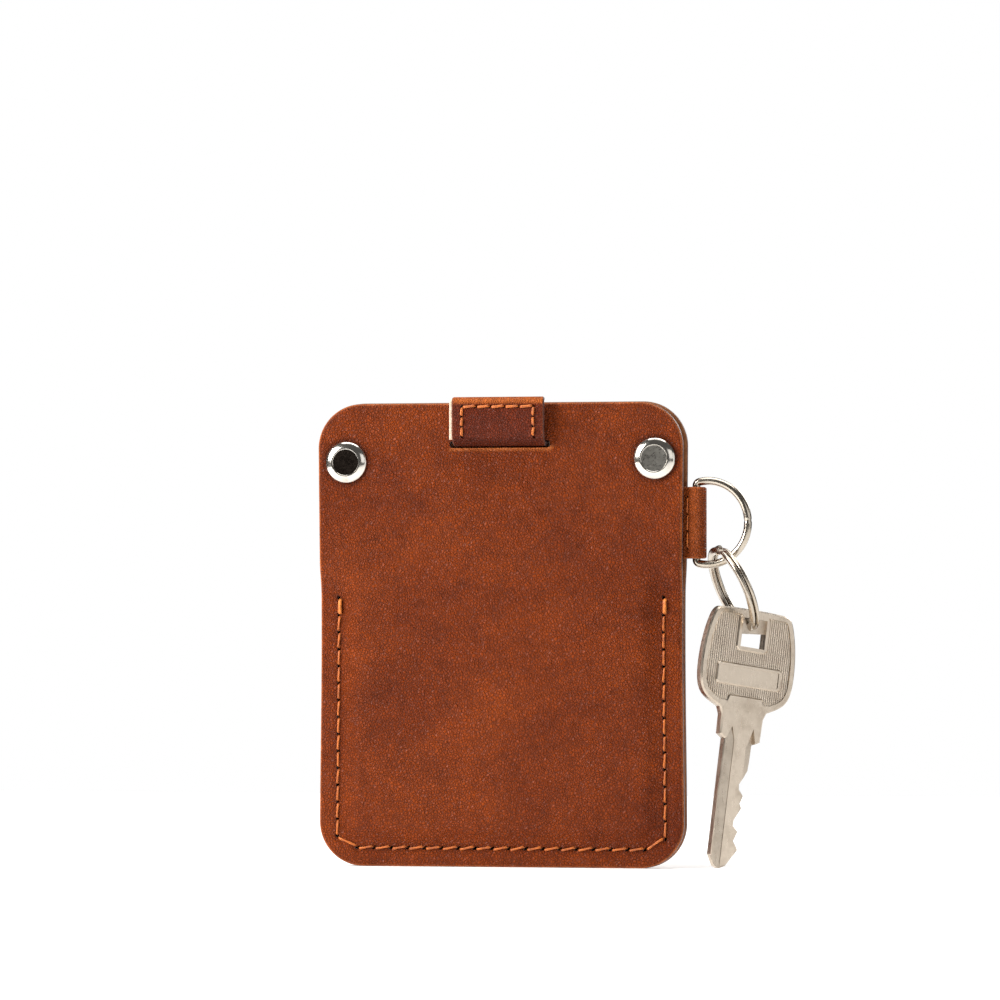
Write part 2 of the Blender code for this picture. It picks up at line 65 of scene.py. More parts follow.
# Panels: pressed together along the seam, apart inside it and above it
WIDTH, HEIGHT, CORNER, LEATHER = 83.0, 103.5, 10.0, 2.0
BACK_WIDER, BACK_TALLER = 0.4, 0.3
WAIST = 0.0096
MID_Y = -1.15
SEAM_HALF_GAP, HALF_POCKET = 0.15, 1.6
PRESSED_RIM, BULGE_RUN, OPENING_RUN = 4.9, 4.6, 7.8
FACE = HALF_POCKET + LEATHER
OUTER_ROUND, INNER_ROUND = 0.8, 0.45
CUT_FRONT, CUT_BACK = -12.0, 10.0

# Stitching
SEAM_INSET, SEAM_TOP, SEAM_LOW = 4.2, 60.0, 2.5
SIDE_HOLES, BOTTOM_HOLES = 15, 18
BOTTOM_START = 4.6
OPENING_LOW = SEAM_TOP + 0.7
THREAD_RADIUS, THREAD_SIDES = 0.23, 12
BLIND_FLOOR = 0.9
DOUBLED_ASIDE = 0.35
STRAP_SEAM_LEFT, STRAP_SEAM_RIGHT, STRAP_SEAM_Z, STRAP_SEAM_HOLES = -7.8, 7.4, 98.0, 5
LOOP_SEAM_INSET, LOOP_SEAM_HOLES = 2.2, 4

# Rivets
RIVETS = {"left": (-34.9, 90.4), "right": (35.2, 90.9)}
RIVET_HOLE = 2.2
RIVET_TUBE, RIVET_STEM, RIVET_DISC = 1.9, 0.9, 2.93

# Strap and tab
SLOT_X, SLOT_HALF, SLOT_LOW, SLOT_HIGH = 0.2, 11.5, 93.45, 95.15
STRAP, STRAP_HALF, STRAP_CLEAR, LEAF_CLEAR = 1.1, 10.5, 0.3, 0.15
STRAP_TURN_Z, STRAP_STRAIGHT_Z, STRAP_END_Z = 12.2, 60.0, 101.0
TAB_TOP, TAB_REAR_END, TAB_REAR_ASIDE = 104.8, 95.3, 0.85
TAB_SEAM_HALF, TAB_SEAM_LOW, TAB_SEAM_INSET = 8.1, 95.9, 2.2

# Key loop and D ring
LOOP_LEATHER, LOOP_LOW, LOOP_HIGH = 1.1, 68.7, 84.6
LOOP_FRONT_END, LOOP_BACK_END, LOOP_PINCH_X = 37.6, 30.6, 41.6
LOOP_SEAM_X, LOOP_ANCHOR_X, LOOP_WRAP = 42.3, 34.0, 118
BAR_X, BAR_CLEAR = 44.0, 0.3
D_WIRE, D_RADIUS, D_OFFSET, D_CORNER = 1.75, 9.27, 2.6, 0.9
D_TURN = math.radians(-7.0)

# Split ring
RING_RADIUS, RING_RADIAL, RING_COIL, RING_COIL_GAP = 9.3, 1.8, 0.95, 0.15
RING_SLIDE, RING_HANG = 3.2, 6.5
RING_HEADING, RING_DIP, RING_SIDE_HEADING = np.radians([13.0, 66.0, -62.0])
RING_START, RING_STEP = np.radians([170.0, 24.0])

# Key: its own places are across and along its face, from the tip
KEY_HALF, KEY_RIM = 1.05, 0.35
KEY_HEADING, KEY_LEAN = np.radians([43.0, 8.2])
KEY_HANG = np.array([-0.1, 53.9])
HOLE_CENTRE, HOLE_HALF = np.array([0.3, 52.5]), 3.2
FIELD_INSET, FIELD_FLOOR = 1.35, 0.65
RIDGE_PITCH, RIDGE_HEIGHT, RIDGE_TOP = 0.55, 0.22, 0.86
PAD_BASE, PAD_TOP, PAD_RIM = 0.3, KEY_HALF + 0.02, 0.25
PLATE_FLOOR, PLATE_FRAME = 0.88, 0.75
BEYOND, KEY_CREASE = 3.0, 25

# Stage: the floor in millimetres; lamps and camera in metres and watts
FLOOR_HALF = 500
LAMPS = {
    "key_lamp": ((-0.42, -0.3, 0.3), 0.3, 4.6),   # place, size and power
    "fill_lamp": ((0.9, -0.9, 0.4), 0.6, 1.3),
    "side_lamp": ((0.9, -0.2, 0.15), 0.5, 0.8),
    "back_lamp": ((0.5, 1.0, 0.6), 0.6, 6),
    "top_lamp": ((0.0, 0.1, 1.3), 1.2, 15),
}
LIT_POINT = (0.0, 0.0, 0.05)
CAMERA_TURN, CAMERA_DISTANCE, CAMERA_HEIGHT = math.radians(11.5), 1.2425, 0.055
CAMERA_AIM_X, CAMERA_AIM_Z = -0.0005, 0.0819
LENS, SENSOR = 200.0, 36.0


# ---------------------------------------------------------------- shapes


def smooth_step(t):
    """0 below 0, 1 above 1, and 3t^2 - 2t^3 between."""
    t = np.clip(t, 0.0, 1.0)
    return t * t * (3 - 2 * t)


def arc(centre, radius, start, end, steps):
    """Points centre + radius (cos a, sin a), with a from start to end in degrees."""
    a = np.radians(np.linspace(start, end, steps + 1))
    return np.column_stack([centre[0] + radius * np.cos(a), centre[1] + radius * np.sin(a)])


def soften(points, rounds, closed=False):
    """Corner cutting: each side gives its points at a quarter and at three quarters."""
    for _ in range(rounds):
        after = np.roll(points, -1, axis=0) if closed else points[1:]
        before = points if closed else points[:-1]
        cut = np.stack([0.75 * before + 0.25 * after, 0.25 * before + 0.75 * after], axis=1)
        cut = cut.reshape(-1, points.shape[1])
        points = cut if closed else np.vstack([points[:1], cut, points[-1:]])
    return points


def resample(points, spacing, dense=None):
    """Points at equal steps of arc length; dense(p) divides the step where it is above 1."""
    fine = np.linspace(0, 1, 20 * len(points))
    old = np.linspace(0, 1, len(points))
    line = np.column_stack([np.interp(fine, old, points[:, k]) for k in range(points.shape[1])])
    step = np.linalg.norm(np.diff(line, axis=0), axis=1)
    if dense is not None:
        step = step * dense((line[1:] + line[:-1]) / 2)
    run = np.concatenate([[0], np.cumsum(step)])
    count = max(3, int(run[-1] / spacing) + 1)
    want = np.linspace(0, run[-1], count)
    return np.column_stack([np.interp(want, run, line[:, k]) for k in range(line.shape[1])])


def directions(path, closed=False):
    """Unit tangents of a path: the difference of each point's two neighbours."""
    if closed:
        t = np.roll(path, -1, axis=0) - np.roll(path, 1, axis=0)
    else:
        t = np.gradient(path, axis=0)
    return t / np.linalg.norm(t, axis=1)[:, None]


def loft(grid, closed=False):
    """Faces between rows of a grid of points, each row a closed section.

    The first and the last row get a flat end, unless the rows close up on each other.
    """
    rows, sides = grid.shape[:2]
    index = np.arange(rows * sides).reshape(rows, sides)
    last = rows if closed else rows - 1
    a = index[:last]
    b = np.roll(index, -1, axis=0)[:last]
    quads = np.stack([a, np.roll(a, -1, axis=1), np.roll(b, -1, axis=1), b], axis=-1)
    faces = quads.reshape(-1, 4).tolist()
    if not closed:
        faces += [index[0][::-1].tolist(), index[-1].tolist()]
    return grid.reshape(-1, 3), faces


def joined(solids):
    """Several (points, faces) solids as one."""
    points, faces, start = [], [], 0
    for p, f in solids:
        points.append(np.asarray(p, float))
        faces += [[i + start for i in face] for face in f]
        start += len(p)
    return np.vstack(points), faces


def tube(path, radius, side, sides=THREAD_SIDES, closed=False, ply=0.0, pitch=1.0, flat=1.0):
    """A round section of the given radius carried along a path.

    Radius grows by ply * cos(3 angle + 2 pi run / pitch), which lays three twisted plies.
    `side` is one direction square to the path; `flat` squeezes the section across it.
    """
    path = np.asarray(path, float)
    tangent = directions(path, closed)
    across = np.cross(tangent, side)
    across /= np.linalg.norm(across, axis=1)[:, None]
    out = np.cross(across, tangent)
    run = np.concatenate([[0], np.cumsum(np.linalg.norm(np.diff(path, axis=0), axis=1))])
    angle = np.linspace(0, 2 * math.pi, sides, endpoint=False)[None, :]
    swell = 1 + ply * np.cos(3 * angle + 2 * math.pi * run[:, None] / pitch)
    r = (np.asarray(radius) * np.ones(len(path)))[:, None] * swell
    grid = (path[:, None] + (r * np.cos(angle))[..., None] * across[:, None]
            + (flat * r * np.sin(angle))[..., None] * out[:, None])
    return loft(grid, closed)


def lathe_y(profile, x, z, sign, base, sides=64):
    """Points (radius, height) turned about an axis along Y; the two ends lie on the axis."""
    profile = np.asarray(profile, float)
    angle = np.linspace(0, 2 * math.pi, sides, endpoint=False)
    r, h = profile[1:-1, 0][:, None], profile[1:-1, 1][:, None]
    depth = base + sign * h + 0 * angle
    grid = np.stack([x + r * np.cos(angle), depth, z + r * np.sin(angle)], axis=-1)
    points, faces = loft(grid)
    faces = faces[:-2]
    first, last, row = len(points), len(points) + 1, (len(profile) - 3) * sides
    ends = [(x, base + sign * profile[0, 1], z), (x, base + sign * profile[-1, 1], z)]
    k = np.arange(sides)
    n = (k + 1) % sides
    faces += np.stack([np.full(sides, first), n, k], axis=1).tolist()
    faces += np.stack([np.full(sides, last), row + k, row + n], axis=1).tolist()
    return np.vstack([points, ends]), faces


def ribbon(path, thickness, low, high, place, columns, rounding=0.4, shift=0.0):
    """A leather strip: a section with rounded edges carried along a flat path.

    The section runs along the width w at +thickness/2, round the edge and back at
    -thickness/2. shift moves each station's section along the width.
    """
    half = thickness / 2
    inset = rounding * thickness
    mid, reach = (low + high) / 2, (high - low) / 2
    s = np.sin(np.linspace(-math.pi / 2, math.pi / 2, columns))
    top = np.column_stack([mid + s * (reach - inset), np.full(columns, half)])
    edge = arc((0, 0), 1.0, 90, -90, 8)[1:-1] * (inset, half)
    right = edge + (mid + reach - inset, 0)
    left = -edge + (mid - reach + inset, 0)
    section = np.vstack([top, right, top[::-1] * (1, -1), left])
    tangent = directions(path)
    normal = np.column_stack([-tangent[:, 1], tangent[:, 0]])
    flat = path[:, None] + normal[:, None] * section[:, 1][None, :, None]
    width = section[:, 0][None, :] + (shift * np.ones(len(path)))[:, None]
    return loft(place(flat[..., 0], flat[..., 1], width))


def across_x(p, q, w):
    """Strip path in the depth-height plane, measured from the wallet's middle plane."""
    return np.stack([w, MID_Y + p, q], axis=-1)


def upright(p, q, w):
    """Strip path in the plan view, measured from the wallet's middle plane."""
    return np.stack([p, MID_Y + q, w], axis=-1)


# ---------------------------------------------------------------- pieces


def make(name, points, faces, materials, crease=35.0):
    """A mesh object at the origin from millimetre points, its faces turned outwards."""
    mesh = bpy.data.meshes.new(name)
    mesh.from_pydata((np.asarray(points) * MM).tolist(), [], faces)
    for finish in materials:
        mesh.materials.append(finish)
    turned = bmesh.new()
    turned.from_mesh(mesh)
    bmesh.ops.recalc_face_normals(turned, faces=turned.faces)
    turned.to_mesh(mesh)
    turned.free()
    mesh.shade_smooth()
    mesh.set_sharp_from_angle(angle=math.radians(crease))
    piece = bpy.data.objects.new(name, mesh)
    bpy.context.scene.collection.objects.link(piece)
    return piece


def carve(piece, solids, wall=0, crease=35.0):
    """Cut closed solids out of a piece with an exact Boolean, and keep the result as its mesh."""
    tool = make("tool", *joined(solids), [])
    paint(tool, wall)
    cut = piece.modifiers.new("cut", "BOOLEAN")
    cut.operation, cut.solver, cut.object = "DIFFERENCE", "EXACT", tool
    bpy.context.view_layer.update()
    result = piece.evaluated_get(bpy.context.evaluated_depsgraph_get())
    done = bpy.data.meshes.new_from_object(result)
    piece.modifiers.clear()
    old, piece.data = piece.data, done
    bpy.data.meshes.remove(old)
    bpy.data.objects.remove(tool)
    done.shade_smooth()
    done.set_sharp_from_angle(angle=math.radians(crease))
    return piece


def corners(piece):
    """The piece's vertices in millimetres, as one array."""
    flat = np.empty(len(piece.data.vertices) * 3, np.float32)
    piece.data.vertices.foreach_get("co", flat)
    return flat.reshape(-1, 3) / MM


def faces_of(piece, name):
    """One vector per face: its "normal", or its "center" in metres."""
    flat = np.empty(len(piece.data.polygons) * 3, np.float32)
    piece.data.polygons.foreach_get(name, flat)
    return flat.reshape(-1, 3)


def paint(piece, index):
    """Give the faces their materials: one number for all of them, or one number each."""
    each = np.array(np.broadcast_to(index, len(piece.data.polygons)), np.int32)
    piece.data.polygons.foreach_set("material_index", each)


def mark(piece, name, values):
    """Store one number per vertex for a material to read."""
    made = piece.data.attributes.new(name, "FLOAT", "POINT")
    made.data.foreach_set("value", np.asarray(values, np.float32))


def settle(piece, body, slot, *nodes):
    """Fix a piece to its CAD body, and hide the CAD nodes it stands for. The slot argument is not
    used.
    """
    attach(piece, body)
    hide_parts(*nodes)


# ---------------------------------------------------------------- materials


def colour(code):
    """An sRGB hex colour as linear red, green, blue and alpha."""
    value = np.array([int(code[i:i + 2], 16) for i in (1, 3, 5)]) / 255
    linear = np.where(value <= 0.04045, value / 12.92, ((value + 0.055) / 1.055) ** 2.4)
    return (*linear.tolist(), 1.0)


def add(tree, kind, settings=None, inputs=None):
    """Add one node, set its properties, and set or link its inputs."""
    made = tree.nodes.new("ShaderNode" + kind)
    for name, value in (settings or {}).items():
        setattr(made, name, value)
    for key, value in (inputs or {}).items():
        if isinstance(value, bpy.types.NodeSocket):
            tree.links.new(value, made.inputs[key])
        else:
            made.inputs[key].default_value = value
    return made


def new_material(name, **sockets):
    """A material with a Principled shader; constant sockets are set on the shader itself."""
    made = bpy.data.materials.new(name)
    made.use_nodes = True
    tree = made.node_tree
    shader = tree.nodes["Principled BSDF"]
    for key, value in sockets.items():
        shader.inputs[key.replace("_", " ")].default_value = value
    return made, tree, shader


def leather(name, light, dark, deep, worn_and_lit, grain_mm):
    """Waxed full-grain cowhide, drum-dyed and rubbed with wax by hand.

    It gives the eye warm clouds of pull-up colour, fine dark pores, faint creases, a broken
    soft sheen, paler edges that are partly wear and partly a painted highlight, and painted
    shade. The paler edges and the painted shade are read from attributes of the piece.
    """
    made, tree, shader = new_material(name, IOR=1.48, Specular_IOR_Level=0.13,
                                      Coat_Weight=0.04, Coat_Roughness=0.3)
    place = add(tree, "TexCoord").outputs["Object"]
    # Clouds 26 mm wide, where wax has moved in the hide
    clouds = add(tree, "TexNoise", inputs={
        "Vector": place, "Scale": 1000 / 26, "Detail": 4.0, "Roughness": 0.62,
        "Distortion": 0.4}).outputs[0]
    cloud = add(tree, "MapRange", inputs={0: clouds, 1: 0.3, 2: 0.7}).outputs[0]
    body = add(tree, "Mix", {"data_type": "RGBA"}, {
        0: cloud, 6: colour(light), 7: colour(dark)}).outputs[2]
    # Mottles 3.2 mm wide, from uneven dye
    mottles = add(tree, "TexNoise", inputs={
        "Vector": place, "Scale": 1000 / 3.2, "Detail": 6.0, "Roughness": 0.7}).outputs[0]
    mottle = add(tree, "MapRange", inputs={0: mottles, 1: 0.4, 2: 0.68}).outputs[0]
    faded = add(tree, "Math", {"operation": "MULTIPLY"}, {0: mottle, 1: 0.36}).outputs[0]
    body = add(tree, "Mix", {"data_type": "RGBA"}, {
        0: faded, 6: body, 7: colour(deep)}).outputs[2]
    # Grain cells, bent over 1.6 mm so that they don't look like a net
    bent = add(tree, "TexNoise", inputs={
        "Vector": place, "Scale": 1000 / 1.6, "Detail": 2.0}).outputs["Color"]
    bent = add(tree, "VectorMath", {"operation": "SCALE"}, {0: bent, "Scale": 0.0007}).outputs[0]
    bent = add(tree, "VectorMath", {"operation": "ADD"}, {0: place, 1: bent}).outputs[0]
    pores = add(tree, "TexVoronoi", {"feature": "DISTANCE_TO_EDGE"}, {
        "Vector": bent, "Scale": 1000 / grain_mm}).outputs["Distance"]
    pore = add(tree, "MapRange", inputs={0: pores, 1: 0.0, 2: 0.17, 3: 0.62, 4: 0.0}).outputs[0]
    body = add(tree, "Mix", {"data_type": "RGBA"}, {
        0: pore, 6: body, 7: colour(deep)}).outputs[2]
    # Creases, one every 11 mm or so
    veins = add(tree, "TexNoise", inputs={
        "Vector": place, "Scale": 1000 / 11, "Detail": 3.0, "Distortion": 1.6}).outputs[0]
    ridge = add(tree, "Math", {"operation": "SUBTRACT"}, {0: veins, 1: 0.5}).outputs[0]
    ridge = add(tree, "Math", {"operation": "ABSOLUTE"}, {0: ridge}).outputs[0]
    crease = add(tree, "MapRange", inputs={0: ridge, 1: 0.0, 2: 0.018, 3: 1.0, 4: 0.0}).outputs[0]
    lined = add(tree, "Math", {"operation": "MULTIPLY"}, {0: crease, 1: 0.22}).outputs[0]
    body = add(tree, "Mix", {"data_type": "RGBA"}, {
        0: lined, 6: body, 7: colour(deep)}).outputs[2]
    # Paler edges, partly wear and partly a painted highlight, broken by the mottles
    rim = add(tree, "Attribute", {"attribute_name": "wear_and_highlight"}).outputs["Fac"]
    broken = add(tree, "MapRange", inputs={0: mottles, 1: 0.3, 2: 0.6, 3: 1.0, 4: 0.45}).outputs[0]
    wear_and_highlight = add(tree, "Math", {"operation": "MULTIPLY"}, {0: rim, 1: broken}).outputs[0]
    body = add(tree, "Mix", {"data_type": "RGBA"}, {
        0: wear_and_highlight, 6: body, 7: colour(worn_and_lit)}).outputs[2]
    # Painted shade: the shade attribute darkens the colour towards the deep one
    painted_shade = add(tree, "Attribute", {"attribute_name": "shade"}).outputs["Fac"]
    body = add(tree, "Mix", {"data_type": "RGBA"}, {
        0: painted_shade, 6: body, 7: colour(deep)}).outputs[2]
    # Sheen and relief
    shine = add(tree, "MapRange", inputs={0: mottles, 1: 0.3, 2: 0.7, 3: 0.33, 4: 0.5}).outputs[0]
    swell = add(tree, "MapRange", inputs={0: pores, 1: 0.0, 2: 0.3}).outputs[0]
    grain = add(tree, "Bump", inputs={
        "Strength": 1.0, "Distance": 0.0002, "Height": swell}).outputs[0]
    drape = add(tree, "Bump", {"invert": True}, {
        "Strength": 0.5, "Distance": 0.00009, "Height": crease, "Normal": grain}).outputs[0]
    waves = add(tree, "Bump", inputs={
        "Strength": 0.35, "Distance": 0.0003, "Height": mottles, "Normal": drape}).outputs[0]
    tree.links.new(body, shader.inputs["Base Color"])
    tree.links.new(shine, shader.inputs["Roughness"])
    tree.links.new(waves, shader.inputs["Normal"])
    return made


def fibrous(name, base, other, fibre_mm, roughness):
    """Flesh side or cut edge of hide: matt to the eye, with short pale and dark fibres."""
    made, tree, shader = new_material(name, Roughness=roughness, IOR=1.45, Sheen_Weight=0.15)
    place = add(tree, "TexCoord").outputs["Object"]
    fibres = add(tree, "TexNoise", inputs={
        "Vector": place, "Scale": 1000 / fibre_mm, "Detail": 5.0, "Roughness": 0.75,
        "Distortion": 0.8}).outputs[0]
    blend = add(tree, "MapRange", inputs={0: fibres, 1: 0.35, 2: 0.65}).outputs[0]
    mix = add(tree, "Mix", {"data_type": "RGBA"}, {
        0: blend, 6: colour(base), 7: colour(other)}).outputs[2]
    bump = add(tree, "Bump", inputs={
        "Strength": 0.6, "Distance": 0.00008, "Height": fibres}).outputs[0]
    tree.links.new(mix, shader.inputs["Base Color"])
    tree.links.new(bump, shader.inputs["Normal"])
    return made


def waxed_thread():
    """Waxed braided polyester: orange tan, with a painted highlight on the crowns of its plies, softly
    shining.
    """
    made, tree, shader = new_material("waxed_polyester_thread", Roughness=0.5, IOR=1.5,
                                      Sheen_Weight=0.1)
    place = add(tree, "TexCoord").outputs["Object"]
    # Painted highlight on the crowns of the plies, and painted shade between them
    crown = add(tree, "Attribute", {"attribute_name": "crown"}).outputs["Fac"]
    mix = add(tree, "Mix", {"data_type": "RGBA"}, {
        0: crown, 6: colour("#b8560f"), 7: colour("#ee8a30")}).outputs[2]
    # Wax and dirt in spots 1.3 mm wide
    dirt = add(tree, "TexNoise", inputs={
        "Vector": place, "Scale": 1000 / 1.3, "Detail": 4.0}).outputs[0]
    dirty = add(tree, "MapRange", inputs={0: dirt, 1: 0.42, 2: 0.66, 3: 0.0, 4: 0.6}).outputs[0]
    mix = add(tree, "Mix", {"data_type": "RGBA"}, {
        0: dirty, 6: mix, 7: colour("#8c431b")}).outputs[2]
    # Fuzz, drawn 0.25 mm wide, coarser than real fibres, so that it shows
    fuzz = add(tree, "TexNoise", inputs={
        "Vector": place, "Scale": 1000 / 0.25, "Detail": 2.0}).outputs[0]
    bump = add(tree, "Bump", inputs={
        "Strength": 0.3, "Distance": 0.00005, "Height": fuzz}).outputs[0]
    tree.links.new(mix, shader.inputs["Base Color"])
    tree.links.new(bump, shader.inputs["Normal"])
    return made


def metal(name, base, stain, roughness, brushed_mm, depth, stretch=(1, 1, 1)):
    """Plated metal: its shine is broken by fine scratches, with faint stains 5 mm wide.

    The scratches are drawn coarser than the real ones, so that they show; stretch draws
    them out along the piece.
    """
    made, tree, shader = new_material(name, Metallic=1.0)
    place = add(tree, "TexCoord").outputs["Object"]
    laid = add(tree, "Mapping", inputs={"Vector": place, "Scale": stretch}).outputs[0]
    scratch = add(tree, "TexNoise", inputs={
        "Vector": laid, "Scale": 1000 / brushed_mm, "Detail": 4.0, "Roughness": 0.7}).outputs[0]
    stains = add(tree, "TexNoise", inputs={
        "Vector": place, "Scale": 1000 / 5, "Detail": 5.0, "Roughness": 0.65}).outputs[0]
    stained = add(tree, "MapRange", inputs={0: stains, 1: 0.45, 2: 0.7, 3: 0.0, 4: 0.55}).outputs[0]
    mix = add(tree, "Mix", {"data_type": "RGBA"}, {
        0: stained, 6: colour(base), 7: colour(stain)}).outputs[2]
    gloss = add(tree, "MapRange", inputs={
        0: scratch, 1: 0.3, 2: 0.7, 3: roughness * 0.75, 4: roughness * 1.35}).outputs[0]
    bump = add(tree, "Bump", inputs={
        "Strength": 0.3, "Distance": depth, "Height": scratch}).outputs[0]
    tree.links.new(mix, shader.inputs["Base Color"])
    tree.links.new(gloss, shader.inputs["Roughness"])
    tree.links.new(bump, shader.inputs["Normal"])
    return made


# Panels and loop: cognac hide; its real grain is about 0.3 mm, drawn twice as coarse to show
COGNAC = leather("waxed_cognac_cowhide", "#99410d", "#722b06", "#3c1403", "#c87038", grain_mm=0.62)
# Strap and tab: a thinner, redder and duller hide, painted orange at the tab's fold as a highlight
# where the fold faces up into the light
STRAP_HIDE = leather("waxed_russet_strap_hide", "#7a3218", "#682610", "#321006", "#c8682a",
                     grain_mm=0.55)
# Cut edges rubbed smooth with wax: dark brown and faintly glossy
BURNISHED = fibrous("burnished_hide_edge", "#6b3015", "#38160a", 0.7, 0.45)
# Inside of the pocket: brushed suede-like flesh side, dry and pale brown
FLESH = fibrous("brushed_flesh_side", "#a0693f", "#6d3d20", 0.5, 0.9)
# Edge of the strap's rear leaf: undyed, left raw, almost cream
RAW_EDGE = fibrous("raw_strap_edge", "#e6d3c0", "#c79f7f", 0.35, 0.8)
THREAD = waxed_thread()
# Rivet caps: pressed steel with bright nickel plate, close to a mirror
NICKEL = metal("polished_nickel_plate", "#d9d4cb", "#a89c8b", 0.14, 0.8, 0.000006)
# Rings: drawn spring wire, tumbled and plated, a shade warmer and softer than the caps
RING_WIRE = metal("nickel_plated_spring_wire", "#bdb3a5", "#958772", 0.2, 0.7, 0.000006)
# Left rivet's middle: painted almost black as a dark reflection, still smooth
DARK_DISC = metal("rivet_disc_painted_dark_reflection", "#3a322c", "#1f1814", 0.25, 0.5, 0.00001)
# Right rivet's middle: burnished grey, half matt
PALE_DISC = metal("burnished_rivet_disc", "#a19d95", "#6d6861", 0.3, 0.5, 0.00001)
# Key blank: nickel-plated brass, satin from tumbling, with marks drawn out along its blade
KEY_METAL = metal("satin_nickel_key_blank", "#c6b9a9", "#998a79", 0.3, 0.5, 0.00001, (1, 1, 0.12))
# Key's pressed field: the same plate between ridges, matt, and painted a little lighter as a highlight
KEY_FIELD = metal("key_field_painted_lighter", "#efe2d2", "#c2b09d", 0.34, 0.4, 0.00001)


# ---------------------------------------------------------------- panels


def waisted(x, z):
    """Sides drawn in a little at mid height: x times 1 - WAIST sin^2(pi z / HEIGHT)."""
    return x * (1 - WAIST * np.sin(math.pi * z / HEIGHT) ** 2)


def half_gap(inset, z):
    """Half the pocket's depth: pressed along the seam, with a smooth rise inside and above it."""
    inside = smooth_step((inset - PRESSED_RIM) / BULGE_RUN)
    above = smooth_step((z - OPENING_LOW) / OPENING_RUN)
    return HALF_POCKET - (HALF_POCKET - SEAM_HALF_GAP) * (1 - inside) * (1 - above)


def edge_distance(x, z, width, height):
    """Distance inwards from a rounded rectangle: radius less the length of the corner offset."""
    straight = x / waisted(1.0, z)
    qx = np.abs(straight) - (width / 2 - CORNER)
    qz = np.abs(z - height / 2) - (height / 2 - CORNER)
    outside = np.hypot(np.maximum(qx, 0), np.maximum(qz, 0))
    return CORNER - outside - np.minimum(np.maximum(qx, qz), 0)


def hole_line(x, z):
    """Distance from the line of stitch holes: two sides below SEAM_TOP and the bottom run."""
    bottom_half, corner_top, far = 33.0, 5.5, 99
    sides = np.abs(np.abs(x) - waisted(WIDTH / 2 - SEAM_INSET, z))
    sides = np.hypot(sides, np.maximum(0, z - SEAM_TOP))
    low = np.hypot(z - SEAM_INSET, np.maximum(0, np.abs(x) - bottom_half))
    return np.minimum(np.where(z < corner_top, far, sides), low)


def rivet_distance(x, z):
    """Distance from the nearer rivet's axis."""
    return np.min([np.hypot(x - rx, z - rz) for rx, rz in RIVETS.values()], axis=0)


def rounded(inset, radius):
    """How far a rounded edge drops: radius less the height of its circle at an inset."""
    reach = np.maximum(0, radius - inset)
    return radius - np.sqrt(np.maximum(0, radius * radius - reach ** 2))


def outer_face(x, z, inset):
    """Height of the leather's outer face above the middle plane.

    The pocket's rise plus the leather, less a round at the edge, a furrow pulled in along
    the stitches and a dish pressed round each rivet, plus slow waves of a hand-cut hide.
    """
    furrow = 0.17 * np.exp(-(hole_line(x, z) / 0.75) ** 2)
    dish = 0.28 * np.exp(-(rivet_distance(x, z) / 5.4) ** 4)
    waves = np.sin(x / 9.5 + z / 17) + np.sin(z / 8.3 - x / 21 + 1.7)
    height = half_gap(inset, z) + LEATHER - rounded(inset, OUTER_ROUND) - furrow - dish
    return height + 0.045 * smooth_step(inset / 12) * waves


def inner_face(z, inset):
    """Height of the leather's inner face above the middle plane, rounded at the edge."""
    return half_gap(inset, z) + rounded(inset, INNER_ROUND)


def panel(sign, width, height):
    """A panel's shell: rows up the height, each row across the outer face and back inside.

    Rows in the corners are at z = R (1 - cos a), where the half width is
    width / 2 - R + R sin a. Columns crowd towards both edges: `near` lists their insets.
    """
    a = np.radians(np.linspace(0, 90, 27))
    low = CORNER * (1 - np.cos(a))
    middle = np.linspace(CORNER, height - CORNER, 88)
    z = np.concatenate([low, middle[1:-1], height - low[::-1]])
    w = width / 2 - CORNER + CORNER * np.sqrt(np.clip(1 - (np.maximum(
        0, np.abs(z - height / 2) - (height / 2 - CORNER)) / CORNER) ** 2, 0, 1))
    near = np.array([0, 0.04, 0.14, 0.3, 0.5, 0.75, 1.0, 1.35, 1.8, 2.4, 3.0, 3.5, 3.9, 4.3,
                     4.7, 5.2, 5.8])
    inner = np.linspace(6.6, width / 2, 34)
    s = 1 - np.concatenate([near, inner]) / (width / 2)
    s = np.concatenate([-s, s[::-1][1:]])
    x = waisted(s[None, :] * w[:, None], z[:, None])
    depth = np.broadcast_to(z[:, None], x.shape)
    inset = np.maximum(edge_distance(x, depth, width, height), 0)
    front = np.stack([x, MID_Y + sign * outer_face(x, depth, inset), depth], axis=-1)
    back = np.stack([x, MID_Y + sign * inner_face(depth, inset), depth], axis=-1)
    return loft(np.concatenate([front, back[:, ::-1]], axis=1))


def seam_holes():
    """Centres of the stitch holes: down the left side, across the bottom, up the right."""
    side = WIDTH / 2 - SEAM_INSET
    heights = np.linspace(SEAM_TOP, SEAM_INSET + SEAM_LOW, SIDE_HOLES)
    across = np.linspace(-(side - BOTTOM_START), side - BOTTOM_START, BOTTOM_HOLES)
    left = np.column_stack([waisted(-side, heights), heights])
    bottom = np.column_stack([across, np.full(BOTTOM_HOLES, SEAM_INSET)])
    return np.vstack([left, bottom, left[::-1] * (-1, 1)])


def along_y(rim, y_low, y_high):
    """A prism along Y: a rim of (x, z) points at two depths."""
    flat = [np.column_stack([rim[:, 0], np.full(len(rim), y), rim[:, 1]]) for y in (y_low, y_high)]
    return loft(np.stack(flat))


def awl_holes(centres, along, y_low, y_high, length=1.5, breadth=0.9, slant=35.0):
    """Diamond holes of a pricking iron, slanted to the stitch line, as prisms along Y."""
    solids = []
    for centre, (dx, dz) in zip(centres, along):
        turn = math.atan2(dz, dx) + math.radians(slant)
        u = np.array([math.cos(turn), math.sin(turn)]) * length / 2
        v = np.array([-math.sin(turn), math.cos(turn)]) * breadth / 2
        solids.append(along_y(centre + np.array([u, v, -u, -v]), y_low, y_high))
    return solids


